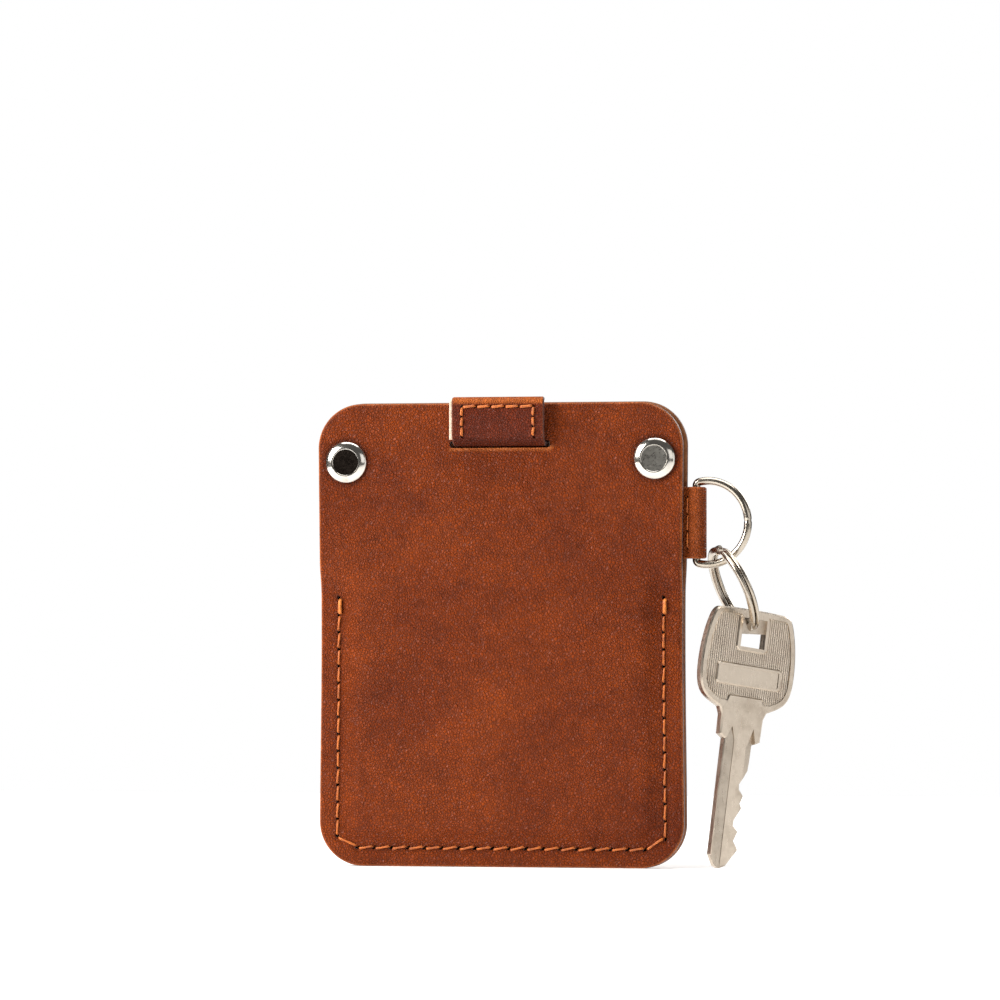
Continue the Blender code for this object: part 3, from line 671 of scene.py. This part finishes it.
def stitch_run(holes, face, out, radius=THREAD_RADIUS, skew=0.3, sink=0.9, lift=0.04):
    """Stitches between neighbouring holes.

    Each path goes straight from hole to hole; its height over the leather is
    lift - (lift + sink) |2t - 1|^9, so it dives into both holes. The ends step to
    opposite sides of the line, more on a level run than on an upright one.
    """
    hand = np.random.default_rng(11)
    t = (1 - np.cos(np.linspace(0, math.pi, 19))) / 2
    solids = []
    for a, b in zip(holes[:-1], holes[1:]):
        ahead = (b - a) / np.linalg.norm(b - a)
        beside = np.array([-ahead[1], ahead[0]])
        lean = skew * (0.35 * abs(ahead[1]) - abs(ahead[0])) + hand.normal(0, 0.05)
        start, end = a + beside * lean + ahead * 0.3, b - beside * lean - ahead * 0.3
        line = start + (end - start) * t[:, None]
        height = lift + radius * 0.6 - (lift + sink) * np.abs(2 * t - 1) ** 9
        path = np.column_stack([line[:, 0], face(line[:, 0], line[:, 1]) + out * height, line[:, 1]])
        solids.append(tube(path, radius, (0, 1, 0), ply=0.1, pitch=3.3, flat=0.85))
    return solids


def thread_piece(name, solids, body, node):
    """A thread's stitches as one piece, with the crowns of its plies marked for a painted highlight.
    """
    piece = make(name, *joined(solids), [THREAD], 60)
    sections = corners(piece).reshape(-1, THREAD_SIDES, 3)
    reach = np.linalg.norm(sections - sections.mean(axis=1, keepdims=True), axis=-1)
    mark(piece, "crown", smooth_step((reach / reach.mean() - 0.93) / 0.15).ravel())
    settle(piece, body, "thread", node)
    return piece


def front_surface(x, z):
    """Depth of the front panel's outer face at x, z."""
    inset = edge_distance(x, z, WIDTH, HEIGHT)
    return MID_Y - outer_face(x, z, inset)


def back_surface(x, z):
    """Depth of the back panel's outer face at x, z."""
    inset = edge_distance(x, z, WIDTH + BACK_WIDER, HEIGHT + BACK_TALLER)
    return MID_Y + outer_face(x, z, inset)


def disc_hole(x, z, radius):
    """A round hole's cutting cylinder along Y."""
    return along_y(arc((x, z), radius, 0, 360, 40)[:-1], CUT_FRONT, CUT_BACK)


def slot_cutter():
    """The strap's slot with a small punched round at both ends."""
    mid, half = (SLOT_LOW + SLOT_HIGH) / 2, (SLOT_HIGH - SLOT_LOW) / 2
    right = arc((SLOT_X + SLOT_HALF - half, mid), half, -90, 90, 12)
    left = arc((SLOT_X - SLOT_HALF + half, mid), half, 90, 270, 12)
    return along_y(np.vstack([right, left]), CUT_FRONT, MID_Y)


def panel_materials(piece, width, height, sign):
    """Outer face, burnished cut edge and flesh side, with marks for a paler rim, partly wear and
    partly a painted highlight, and for painted shade along the seam, round the rivets and on the
    floors of the blind holes.

    A face is the outer one where it looks outwards, the flesh side where it looks inwards,
    and an edge in between.
    """
    points = corners(piece)
    x, z = points[:, 0], points[:, 2]
    inset = edge_distance(x, z, width, height)
    depth = sign * (points[:, 1] - MID_Y) - half_gap(inset, z)
    outer = smooth_step((depth - 1.0) / 0.4)
    # Paler rim on the outer face: partly wear, partly a painted highlight on the rounded edge
    wear_and_highlight = smooth_step((0.5 - inset) / 0.35) * outer
    # Painted shade: in the furrow along the stitches, round each rivet's cap, and on the floors of the
    # blind holes
    furrow = 0.45 * np.exp(-(hole_line(x, z) / 0.9) ** 2)
    ring = 0.7 * np.exp(-((rivet_distance(x, z) - 4.7) / 0.8) ** 2)
    hole_floor = smooth_step((1.3 - depth) / 0.3)
    # A painted highlight on the slot's lower lip, whose cut edge faces up into the light
    if sign < 0:
        slot_reach = np.maximum(np.abs(x - SLOT_X) - SLOT_HALF, 0)
        lip = np.hypot(slot_reach, np.maximum(SLOT_LOW - z, z - SLOT_HIGH))
        lower = (z < SLOT_LOW + 0.1) & (slot_reach < 0.2)
        wear_and_highlight = np.maximum(wear_and_highlight, smooth_step((0.4 - lip) / 0.3) * lower * outer)
    mark(piece, "wear_and_highlight", wear_and_highlight)
    mark(piece, "shade", np.maximum(np.maximum(furrow, ring) * outer, hole_floor))
    facing = faces_of(piece, "normal")[:, 1] * sign
    paint(piece, np.where(facing > 0.35, 0, np.where(facing < -0.35, 2, 1)))


def make_panels():
    """Both panels, cut for stitches, rivets and slot, and the thread round the edge."""
    holes = seam_holes()
    along = directions(holes)
    rivets = [disc_hole(x, z, RIVET_HOLE) for x, z in RIVETS.values()]
    finishes = [COGNAC, BURNISHED, FLESH]
    front = make("front_panel", *panel(-1, WIDTH, HEIGHT), finishes)
    carve(front, awl_holes(holes, along, CUT_FRONT, MID_Y) + rivets + [slot_cutter()], 1)
    panel_materials(front, WIDTH, HEIGHT, -1)
    settle(front, "wallet", "panel_leather", "front_panel")
    width, height = WIDTH + BACK_WIDER, HEIGHT + BACK_TALLER
    back = make("back_panel", *panel(1, width, height), finishes)
    anchors = awl_holes(strap_anchor_holes(), [(1, 0)] * STRAP_SEAM_HOLES, MID_Y, CUT_BACK)
    anchors += awl_holes(loop_anchor_holes(), [(0, 1)] * LOOP_SEAM_HOLES, MID_Y, CUT_BACK)
    carve(back, awl_holes(holes, along, MID_Y + BLIND_FLOOR, CUT_BACK) + rivets + anchors, 1)
    panel_materials(back, width, height, 1)
    settle(back, "wallet", "panel_leather", "back_panel")
    runs = stitch_run(holes, front_surface, -1) + stitch_run(holes, back_surface, 1)
    # The first stitch at the top of each side is sewn twice
    for pair in (holes[:2], holes[-1:-3:-1]):
        runs += stitch_run(pair + (DOUBLED_ASIDE, 0.0), front_surface, -1, 0.34, 0.1, 1.0, 0.35)
    thread_piece("seam_thread", runs, "wallet", "seam_thread")


def strap_anchor_holes():
    """Holes of the strap's inner seam on the back panel."""
    across = np.linspace(STRAP_SEAM_LEFT, STRAP_SEAM_RIGHT, STRAP_SEAM_HOLES)
    return np.column_stack([across, np.full(STRAP_SEAM_HOLES, STRAP_SEAM_Z)])


def loop_seam_heights():
    """Heights of the stitch holes in the key loop."""
    return np.linspace(LOOP_LOW + LOOP_SEAM_INSET, LOOP_HIGH - LOOP_SEAM_INSET, LOOP_SEAM_HOLES)


def loop_anchor_holes():
    """Holes of the key loop's longer tail on the back panel."""
    return np.column_stack([np.full(LOOP_SEAM_HOLES, LOOP_ANCHOR_X), loop_seam_heights()])


# ---------------------------------------------------------------- strap and tab


STRAP_INNER = HALF_POCKET - STRAP_CLEAR - STRAP / 2
STRAP_LEFT, STRAP_RIGHT = SLOT_X - STRAP_HALF, SLOT_X + STRAP_HALF
TAB_REAR = -(FACE + STRAP_CLEAR + STRAP / 2)
TAB_TURN = LEAF_CLEAR + STRAP / 2
TAB_FOLD = TAB_REAR - TAB_TURN
TAB_FRONT = TAB_REAR - 2 * TAB_TURN
TAB_BEND = np.array([(-3.9, 94.35), (-4.7, 94.75), (-5.4, 95.45), (-5.78, 96.3), (TAB_FRONT, 97.2)])


def make_strap():
    """The strap's inner run: from the slot down the front, under the cards and up the back."""
    path = np.vstack([[(-STRAP_INNER, SLOT_LOW - 1.6), (-STRAP_INNER, STRAP_STRAIGHT_Z)],
                      arc((0, STRAP_TURN_Z), STRAP_INNER, 180, 360, 8),
                      [(STRAP_INNER, STRAP_STRAIGHT_Z), (STRAP_INNER, STRAP_END_Z)]])
    grid = ribbon(resample(path, 1.2), STRAP, STRAP_LEFT, STRAP_RIGHT, across_x, 18)
    piece = make("pull_strap", *grid, [STRAP_HIDE, RAW_EDGE])
    mark(piece, "wear_and_highlight", np.zeros(len(piece.data.vertices)))
    # Painted shade over the whole inner run, inside the pocket
    mark(piece, "shade", np.full(len(piece.data.vertices), 0.3))
    paint(piece, np.abs(faces_of(piece, "normal")[:, 0]) > 0.7)
    settle(piece, "wallet", "strap_leather", "pull_strap")
    runs = stitch_run(strap_anchor_holes(), back_surface, 1)
    thread_piece("strap_anchor_thread", runs, "wallet", "strap_anchor_thread")


def tab_holes():
    """The tab's stitch holes: up the left side, along the top and down the right side."""
    left, right, high = SLOT_X - TAB_SEAM_HALF, SLOT_X + TAB_SEAM_HALF, TAB_TOP - TAB_SEAM_INSET
    side = np.linspace(TAB_SEAM_LOW, high, 4)
    top = np.linspace(left, right, 6)[1:-1]
    return np.vstack([np.column_stack([np.full(4, left), side]),
                      np.column_stack([top, np.full(4, high)]),
                      np.column_stack([np.full(4, right), side[::-1]])])


def tab_face(x, z):
    """Depth of the tab's front face: its bend out of the slot, then straight up."""
    return MID_Y - STRAP / 2 - 0.02 + np.interp(z, TAB_BEND[:, 1], TAB_BEND[:, 0]) + 0 * x


def make_tab():
    """The strap's outer run: out of the slot, up the front, over the fold and down behind.

    The rear leaf lies a little to the left, so its pale raw edge shows beside the front one.
    """
    path = np.vstack([
        [(-STRAP_INNER, SLOT_LOW - 1.4)],
        arc((-HALF_POCKET, SLOT_LOW), STRAP_CLEAR + STRAP / 2, 0, 90, 5)[1:],
        TAB_BEND,
        arc((TAB_FOLD, TAB_TOP - TAB_TURN - STRAP / 2), TAB_TURN, 180, 0, 10),
        [(TAB_REAR, TAB_REAR_END)]])
    path = resample(soften(path, 2), 0.32, lambda p: 1 + 5 * (np.abs(p[:, 1] - 95.1) < 0.6))
    after_fold = (path[:, 1] > 95.2) & (np.arange(len(path)) > len(path) / 2)
    behind = smooth_step((path[:, 0] - TAB_FOLD) / TAB_TURN) * after_fold
    grid = ribbon(path, STRAP, STRAP_LEFT, STRAP_RIGHT, across_x, 30, shift=-TAB_REAR_ASIDE * behind)
    piece = make("pull_tab", *grid, [STRAP_HIDE, BURNISHED, RAW_EDGE])
    cuts = tab_holes()
    face = MID_Y + TAB_FRONT - STRAP / 2
    carve(piece, awl_holes(cuts, directions(cuts), face - 1.0, face + 0.9, 1.2, 0.75), 1)
    points = corners(piece)
    # The fold gets a painted highlight, as it faces up into the light; the sides are paler as wear
    fold_highlight = smooth_step((points[:, 2] - TAB_TOP + 1.9) / 0.8)
    to_side = np.minimum(points[:, 0] - STRAP_LEFT, STRAP_RIGHT - points[:, 0])
    mark(piece, "wear_and_highlight", np.maximum(0.95 * fold_highlight, 0.4 * smooth_step((0.55 - to_side) / 0.4)))
    # Painted shade on the tab's lower part, towards the slot
    mark(piece, "shade", 0.35 * smooth_step((96.4 - points[:, 2]) / 1.5))
    centre = faces_of(piece, "center") / MM
    sideways = np.abs(faces_of(piece, "normal")[:, 0]) > 0.6
    peeking = (centre[:, 0] < STRAP_LEFT + 0.05) & (centre[:, 1] > MID_Y + TAB_FOLD)
    paint(piece, np.where(peeking & (centre[:, 2] > 95.0), 2, sideways))
    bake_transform(piece)
    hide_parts("pull_tab")
    runs = stitch_run(cuts, tab_face, -1, 0.27, 0.12, 0.8, 0.06)
    thread_piece("pull_tab_thread", runs, "tab", "pull_tab_thread")


# ---------------------------------------------------------------- rivets


def make_rivets():
    """Bevelled caps with a darker pressed disc, on both faces, and the tube and stem inside.

    The profile is radius and height over the leather: rolled rim, two flats, groove, disc.
    """
    head = [(4.5, -0.05), (4.62, 0.1), (4.62, 0.3), (4.5, 0.48), (4.25, 0.66), (3.95, 0.84),
            (3.6, 1.0), (3.3, 1.11), (3.12, 1.15), (3.02, 1.13), (2.97, 1.05), (2.9, 1.0),
            (2.4, 0.985), (1.2, 0.98), (0, 0.98)]
    surface = FACE + 0.02
    # The left disc is painted almost black as a dark reflection
    for side, disc_metal in (("left", DARK_DISC), ("right", PALE_DISC)):
        x, z = RIVETS[side]
        for part, sign, shaft, end in (("cap", -1, RIVET_TUBE, -6.0), ("post", 1, RIVET_STEM, -6.6)):
            name = f"{side}_rivet_{part}"
            profile = [(0, end), (shaft, end), (shaft, -0.05)] + head
            points, faces = lathe_y(profile, x, z, sign, MID_Y + sign * surface)
            piece = make(name, points, faces, [NICKEL, disc_metal], 28)
            centre = faces_of(piece, "center") / MM
            in_disc = np.hypot(centre[:, 0] - x, centre[:, 2] - z) < RIVET_DISC
            paint(piece, in_disc & (sign * (centre[:, 1] - MID_Y) > surface + 0.9))
            settle(piece, "wallet", "nickel", name)


# ---------------------------------------------------------------- key loop and rings


BAR = np.array([BAR_X, MID_Y, (LOOP_LOW + LOOP_HIGH) / 2])
OUTWARD = np.array([math.cos(D_TURN), math.sin(D_TURN), 0.0])
UP = np.array([0.0, 0.0, 1.0])


def make_key_loop():
    """The leather loop round the D ring's bar, its edges and its two seams."""
    half = LOOP_LEATHER / 2
    round_bar, flat = D_WIRE / 2 + BAR_CLEAR + half, LEAF_CLEAR + half
    path = np.vstack([[(LOOP_FRONT_END, -flat), (LOOP_PINCH_X, -flat)],
                      arc((BAR_X, 0), round_bar, -LOOP_WRAP, LOOP_WRAP, 20),
                      [(LOOP_PINCH_X, flat), (LOOP_BACK_END, flat)]])
    path = resample(soften(path, 1), 0.4)
    piece = make("key_loop", *ribbon(path, LOOP_LEATHER, LOOP_LOW, LOOP_HIGH, upright, 22),
                 [COGNAC, BURNISHED])
    seam = np.column_stack([np.full(LOOP_SEAM_HOLES, LOOP_SEAM_X), loop_seam_heights()])
    carve(piece, awl_holes(seam, [(0, 1)] * LOOP_SEAM_HOLES, MID_Y - 4, MID_Y + 4, 0.6, 0.45), 0)
    points = corners(piece)
    to_edge = np.minimum(points[:, 2] - LOOP_LOW, LOOP_HIGH - points[:, 2])
    mark(piece, "wear_and_highlight", np.maximum(0.22, 0.6 * smooth_step((0.5 - to_edge) / 0.35)))
    # Painted shade on the loop's part nearest the wallet's edge
    mark(piece, "shade", 0.4 * smooth_step((41.9 - points[:, 0]) / 1.2))
    settle(piece, "wallet", "strap_leather", "key_loop")
    bulge = round_bar + half - 0.18
    runs = stitch_run(seam, lambda x, z: MID_Y - bulge + 0 * x, -1, 0.14, 0.02, 0.6, -0.12)
    thread_piece("key_loop_thread", runs, "wallet", "key_loop_thread")
    anchor = stitch_run(loop_anchor_holes(), back_surface, 1)
    thread_piece("loop_anchor_thread", anchor, "wallet", "loop_anchor_thread")


def make_d_ring():
    """A round wire bent to a D: a wide arc, two tight corners and the straight bar.

    The wire is a tenth thinner at its butt joint, opposite the bar.
    """
    chord = math.degrees(math.acos(-(D_OFFSET - D_CORNER) / (D_RADIUS - D_CORNER)))
    corner = (D_RADIUS - D_CORNER) * math.sin(math.radians(chord))
    flat = np.vstack([arc((D_OFFSET, 0), D_RADIUS, -chord, chord, 110),
                      arc((D_CORNER, corner), D_CORNER, chord, 180, 8)[1:],
                      np.column_stack([np.zeros(9), np.linspace(corner, -corner, 11)[1:-1]]),
                      arc((D_CORNER, -corner), D_CORNER, 180, 360 - chord, 8)[:-1]])
    path = BAR + flat[:, :1] * OUTWARD + flat[:, 1:] * UP
    joint = np.hypot(flat[:, 0] - D_OFFSET - D_RADIUS, flat[:, 1] - 0.4)
    radius = D_WIRE / 2 * (1 - 0.1 * (joint < 0.2))
    wire = tube(path, radius, np.cross(OUTWARD, UP), 24, closed=True)
    piece = make("d_ring", *wire, [RING_WIRE], 50)
    settle(piece, "d_link", "nickel", "d_ring")


def ring_frame():
    """Where the split ring crosses the D's wire, its centre and its three directions."""
    drop = math.sqrt(D_RADIUS ** 2 - RING_SLIDE ** 2)
    crossing = BAR + OUTWARD * (D_OFFSET + RING_SLIDE) - UP * drop
    flat = math.cos(RING_DIP)
    along = np.array([flat * math.cos(RING_HEADING), flat * math.sin(RING_HEADING),
                      -math.sin(RING_DIP)])
    side = np.array([math.cos(RING_SIDE_HEADING), math.sin(RING_SIDE_HEADING), 0.0])
    side = side - along * side.dot(along)
    side /= np.linalg.norm(side)
    return crossing, crossing + along * RING_HANG, along, side, np.cross(along, side)


def make_split_ring():
    """A strip with rounded edges wound twice round, stepping from one coil to the other.

    The level goes from -c to +c by a smooth step in the middle of the run. The section is a
    round one with its cosine and sine raised to small powers, which fills out its corners.
    """
    _, centre, along, side, normal = ring_frame()
    level = (RING_COIL + RING_COIL_GAP) / 2
    round_once = 2 * math.pi
    turn = np.concatenate([np.linspace(0, round_once - RING_STEP, 96),
                           np.linspace(round_once - RING_STEP, round_once, 10)[1:-1],
                           np.linspace(round_once, 2 * round_once - RING_STEP, 96)])
    rise = smooth_step((turn - (round_once - RING_STEP)) / RING_STEP)
    height = -level + 2 * level * rise
    angle = turn + RING_START
    radial = along * np.cos(angle)[:, None] + side * np.sin(angle)[:, None]
    a = np.linspace(0, 2 * math.pi, 24, endpoint=False)
    u = np.sign(np.cos(a)) * np.abs(np.cos(a)) ** 0.7 * RING_RADIAL / 2
    v = np.sign(np.sin(a)) * np.abs(np.sin(a)) ** 0.85 * RING_COIL / 2
    grid = (centre + radial[:, None] * (RING_RADIUS + u)[None, :, None]
            + normal * (height[:, None] + v[None, :])[..., None])
    piece = make("split_ring", *loft(grid), [RING_WIRE], 50)
    settle(piece, "split_link", "nickel", "split_ring")


# ---------------------------------------------------------------- key


def key_frame():
    """The key's width, length and thickness directions, and the point that hangs on the ring."""
    _, centre, along, _, _ = ring_frame()
    level = np.array([math.cos(KEY_HEADING), math.sin(KEY_HEADING), 0.0])
    width = level * math.cos(KEY_LEAN) - UP * math.sin(KEY_LEAN)
    length = level * math.sin(KEY_LEAN) + UP * math.cos(KEY_LEAN)
    return width, length, np.cross(width, length), centre + along * RING_RADIUS


def on_key(flat, height):
    """Points (s, t) of the key's face at a height above its middle plane."""
    width, length, thick, hang = key_frame()
    flat = np.asarray(flat, float) - KEY_HANG
    height = np.broadcast_to(np.asarray(height, float), flat.shape[:-1])
    return hang + flat[..., :1] * width + flat[..., 1:] * length + height[..., None] * thick


def drawn_in(outline, distance):
    """A closed outline moved inwards: each point along the mean normal of its two sides."""
    ahead = np.roll(outline, -1, axis=0) - outline
    ahead /= np.linalg.norm(ahead, axis=1)[:, None]
    normal = np.column_stack([-ahead[:, 1], ahead[:, 0]])
    mean = normal + np.roll(normal, 1, axis=0)
    mean /= np.linalg.norm(mean, axis=1)[:, None]
    x, y = outline.T
    area = np.sum(x * np.roll(y, -1) - np.roll(x, -1) * y)
    reach = 1 / np.maximum((mean * normal).sum(axis=1), 0.6)
    return outline + math.copysign(distance, area) * mean * reach[:, None]


def slab(outline, low, high, chamfer_low=0.0, chamfer_high=0.0):
    """A flat outline between two heights, with its rims chamfered."""
    rings = [on_key(outline, low + chamfer_low), on_key(outline, high - chamfer_high)]
    if chamfer_low:
        rings = [on_key(drawn_in(outline, chamfer_low), low)] + rings
    if chamfer_high:
        rings = rings + [on_key(drawn_in(outline, chamfer_high), high)]
    return loft(np.stack(rings))


def on_side(outline, side, low, high, chamfer=0.0):
    """A slab between two heights on one side of the key, with its outer rim chamfered."""
    if side > 0:
        return slab(outline, low, high, 0.0, chamfer)
    return slab(outline, -high, -low, chamfer, 0.0)


def bow_outline():
    """The bow from its lower right, over the top, to its lower left."""
    right = np.array([(6.3, 35.4), (9.6, 36.9), (11.5, 38.6), (12.4, 41.5), (12.5, 46.0), (12.0, 50.8),
                      (11.0, 54.8), (10.1, 56.8), (8.6, 57.7)])
    return np.vstack([right, right[::-1] * (-1, 1)])


def key_outline():
    """The bow, then down the back of the blade, round the tip and up the cuts."""
    back = [(-5.6, 33.8), (-5.5, 29.5), (-4.1, 28.6), (-4.1, 2.9)]
    tip = [(-2.6, 0.5), (-1.6, 0.0), (0.0, 0.7), (2.9, 4.6)]
    cuts = [(1.5, 6.4), (2.3, 8.6), (1.0, 9.8), (1.0, 11.0), (2.6, 13.8), (2.0, 14.8), (2.7, 16.5),
            (1.4, 17.9), (1.3, 19.0), (3.2, 22.2), (3.4, 24.3)]
    shank = [(3.5, 27.9), (5.4, 28.8), (5.6, 33.8)]
    return np.vstack([soften(bow_outline(), 2), back + tip + cuts + shank])


def ribbed_field(outline, side):
    """A field of fine upright ridges filling an outline.

    Columns run along the width; in each, rows go from the outline's lower to its upper
    chain. The face's height is a cosine of the width with the ridge pitch, which is drawn
    half as coarse again as a usual 0.37 mm, so that the ridges show.
    """
    left, right = outline[:, 0].argmin(), outline[:, 0].argmax()
    ordered = np.roll(outline, -right, axis=0)
    split = (left - right) % len(outline) + 1
    upper, lower = ordered[:split][::-1], np.vstack([ordered[split - 1:], ordered[:1]])
    s = np.arange(outline[left, 0] + 0.01, outline[right, 0] - 0.01, RIDGE_PITCH / 6)
    high = np.interp(s, upper[:, 0], upper[:, 1])
    low = np.interp(s, lower[:, 0], lower[:, 1])
    v = np.linspace(0, 1, 9)[:, None]
    t = low + v * (high - low)
    flat = np.stack([np.broadcast_to(s, t.shape), t], axis=-1)
    ridge = RIDGE_TOP - RIDGE_HEIGHT / 2 * (1 + np.cos(2 * math.pi * s / RIDGE_PITCH))
    face = on_key(flat, side * np.broadcast_to(ridge, t.shape))
    floor = on_key(flat, side * PAD_BASE)
    return loft(np.concatenate([face, floor[:, ::-1]], axis=1))


def blade_grooves():
    """Cutters of the milled grooves, which end in points: two sloping in front, one behind."""
    left = np.array([(-3.9, -3), (-1.6, -3), (-1.6, 28.5), (-2.5, 31.5), (-3.9, 28.5)])
    right = np.array([(1.7, -3), (4.4, -3), (4.4, 27.0), (3.2, 31.5), (1.7, 27.0)])
    rear = np.array([(-0.6, -3), (1.0, -3), (1.0, 28.5), (0.2, 31.5), (-0.6, 28.5)])
    left_floor = 0.15 + 0.3 * (left[:, 0] + 3.9)
    right_floor = 0.85 - 0.25 * (right[:, 0] - 1.7)
    return [loft(np.stack([on_key(left, left_floor), on_key(left, BEYOND)])),
            loft(np.stack([on_key(right, right_floor), on_key(right, BEYOND)])),
            slab(rear, -BEYOND, -0.35)]


def pad_outlines():
    """The raised plate, the boss over the blade and the collar round the hole."""
    plate = np.array([(-7.6, 40.5), (8.4, 40.5), (9.0, 41.1), (9.0, 44.8), (8.4, 45.4),
                      (-7.6, 45.4), (-8.2, 44.8), (-8.2, 41.1)])
    boss = np.array([(-6.0, 35.0), (6.0, 35.0), (5.2, 36.9), (4.6, 38.4), (-4.2, 38.4),
                     (-4.8, 36.9)])
    cut_square = np.array([(-1, -0.8), (-0.8, -1), (0.8, -1), (1, -0.8), (1, 0.8), (0.8, 1),
                           (-0.8, 1), (-1, 0.8)])
    return plate, boss, HOLE_CENTRE + cut_square * (HOLE_HALF + 1.0)


def make_key():
    """The key: a chamfered, grooved blank with ribbed fields, blank plates, bosses and collars.

    Every part but the blank sits in the recess on its side of the bow; all become one mesh.
    """
    finishes = [KEY_METAL, KEY_FIELD]
    square = np.array([(-1, -1), (1, -1), (1, 1), (-1, 1)], float)
    hole = slab(HOLE_CENTRE + square * HOLE_HALF, -BEYOND, BEYOND)
    collar_hole = slab(HOLE_CENTRE + square * (HOLE_HALF + 0.5), -BEYOND, BEYOND)
    field = soften(drawn_in(bow_outline(), FIELD_INSET), 1, closed=True)
    plate, boss, collar = pad_outlines()
    blank = make("key", *slab(key_outline(), -KEY_HALF, KEY_HALF, KEY_RIM, KEY_RIM), finishes,
                 KEY_CREASE)
    carve(blank, [hole], 0, KEY_CREASE)
    recess = [on_side(field, side, FIELD_FLOOR, BEYOND) for side in (1, -1)]
    carve(blank, blade_grooves() + recess, 0, KEY_CREASE)
    parts = [blank]
    for side in (-1, 1):
        ribs = make("ribs", *ribbed_field(drawn_in(field, 0.05), side), finishes, 80)
        carve(ribs, [collar_hole], 1, 80)
        # The ribbed field takes the plate painted lighter as a highlight
        paint(ribs, 1)
        plate_floor = on_side(drawn_in(plate, PLATE_FRAME), side, PLATE_FLOOR, BEYOND)
        parts.append(ribs)
        for outline, cutters in ((plate, [plate_floor]), (boss, []), (collar, [hole])):
            pad = on_side(outline, side, PAD_BASE, PAD_TOP, PAD_RIM)
            pad = make("pad", *pad, finishes, KEY_CREASE)
            if cutters:
                carve(pad, cutters, 0, KEY_CREASE)
            parts.append(pad)
    whole = bmesh.new()
    for part in parts:
        whole.from_mesh(part.data)
    whole.to_mesh(blank.data)
    whole.free()
    blank.data.shade_smooth()
    blank.data.set_sharp_from_angle(angle=math.radians(KEY_CREASE))
    for part in parts[1:]:
        bpy.data.objects.remove(part)
    settle(blank, "house_key", "key_metal", "key")


# ---------------------------------------------------------------- stage


def paper():
    """Seamless studio paper: matt white to the eye, with clouds of tone too faint to notice.

    A little glow of its own keeps it white where the object shades it.
    """
    made, tree, shader = new_material("white_floor_paper", Roughness=0.9,
                                      Emission_Color=(1, 1, 1, 1), Emission_Strength=0.2)
    place = add(tree, "TexCoord").outputs["Object"]
    clouds = add(tree, "TexNoise", inputs={
        "Vector": place, "Scale": 1000 / 25, "Detail": 3.0}).outputs[0]
    faint = add(tree, "MapRange", inputs={0: clouds, 3: 0.0, 4: 0.04}).outputs[0]
    mix = add(tree, "Mix", {"data_type": "RGBA"}, {
        0: faint, 6: colour("#fbfaf8"), 7: colour("#e8e6e2")}).outputs[2]
    tree.links.new(mix, shader.inputs["Base Color"])
    return made


def make_stage():
    """A white paper floor under the object."""
    square = np.array([(-1, -1), (1, -1), (1, 1), (-1, 1)]) * FLOOR_HALF
    low = CAD_BOX[0][2] / MM
    floor = make("floor", np.column_stack([square, np.full(4, low)]), [(0, 1, 2, 3)], [paper()])


def facing(start, target):
    """The rotation that points a lamp or camera at start towards target."""
    return (Vector(target) - Vector(start)).to_track_quat("-Z", "Y").to_euler()


def make_lamps():
    """Large soft square lamps all round; the left one is near, so light falls off to the right."""
    for name, (place, size, power) in LAMPS.items():
        lamp = bpy.data.lights.new(name, "AREA")
        lamp.shape, lamp.size, lamp.energy = "SQUARE", size, power
        made = bpy.data.objects.new(name, lamp)
        made.location = place
        made.rotation_euler = facing(place, LIT_POINT)
        bpy.context.scene.collection.objects.link(made)


def make_world():
    """White behind the object, but a dim grey room for the light and for the metal's mirrors."""
    world = bpy.data.worlds.new("studio")
    world.use_nodes = True
    tree = world.node_tree
    seen = add(tree, "LightPath").outputs["Is Camera Ray"]
    around = add(tree, "Mix", {"data_type": "RGBA"}, {
        0: seen, 6: colour("#5a5958"), 7: colour("#ffffff")}).outputs[2]
    tree.links.new(around, tree.nodes["Background"].inputs["Color"])
    bpy.context.scene.world = world


def make_camera():
    """A long lens a little above half height, turned to the object's right."""
    camera = bpy.data.cameras.new("camera")
    camera.lens, camera.sensor_width = LENS, SENSOR
    made = bpy.data.objects.new("camera", camera)
    made.location = (CAMERA_DISTANCE * math.sin(CAMERA_TURN),
                     -CAMERA_DISTANCE * math.cos(CAMERA_TURN), CAMERA_HEIGHT)
    made.rotation_euler = facing(made.location, (CAMERA_AIM_X, MID_Y * MM, CAMERA_AIM_Z))
    bpy.context.scene.collection.objects.link(made)
    bpy.context.scene.camera = made
    bpy.context.scene.view_settings.view_transform = "Standard"


make_panels()
make_strap()
make_tab()
make_rivets()
make_key_loop()
make_d_ring()
make_split_ring()
make_key()
make_stage()
make_lamps()
make_world()
make_camera()
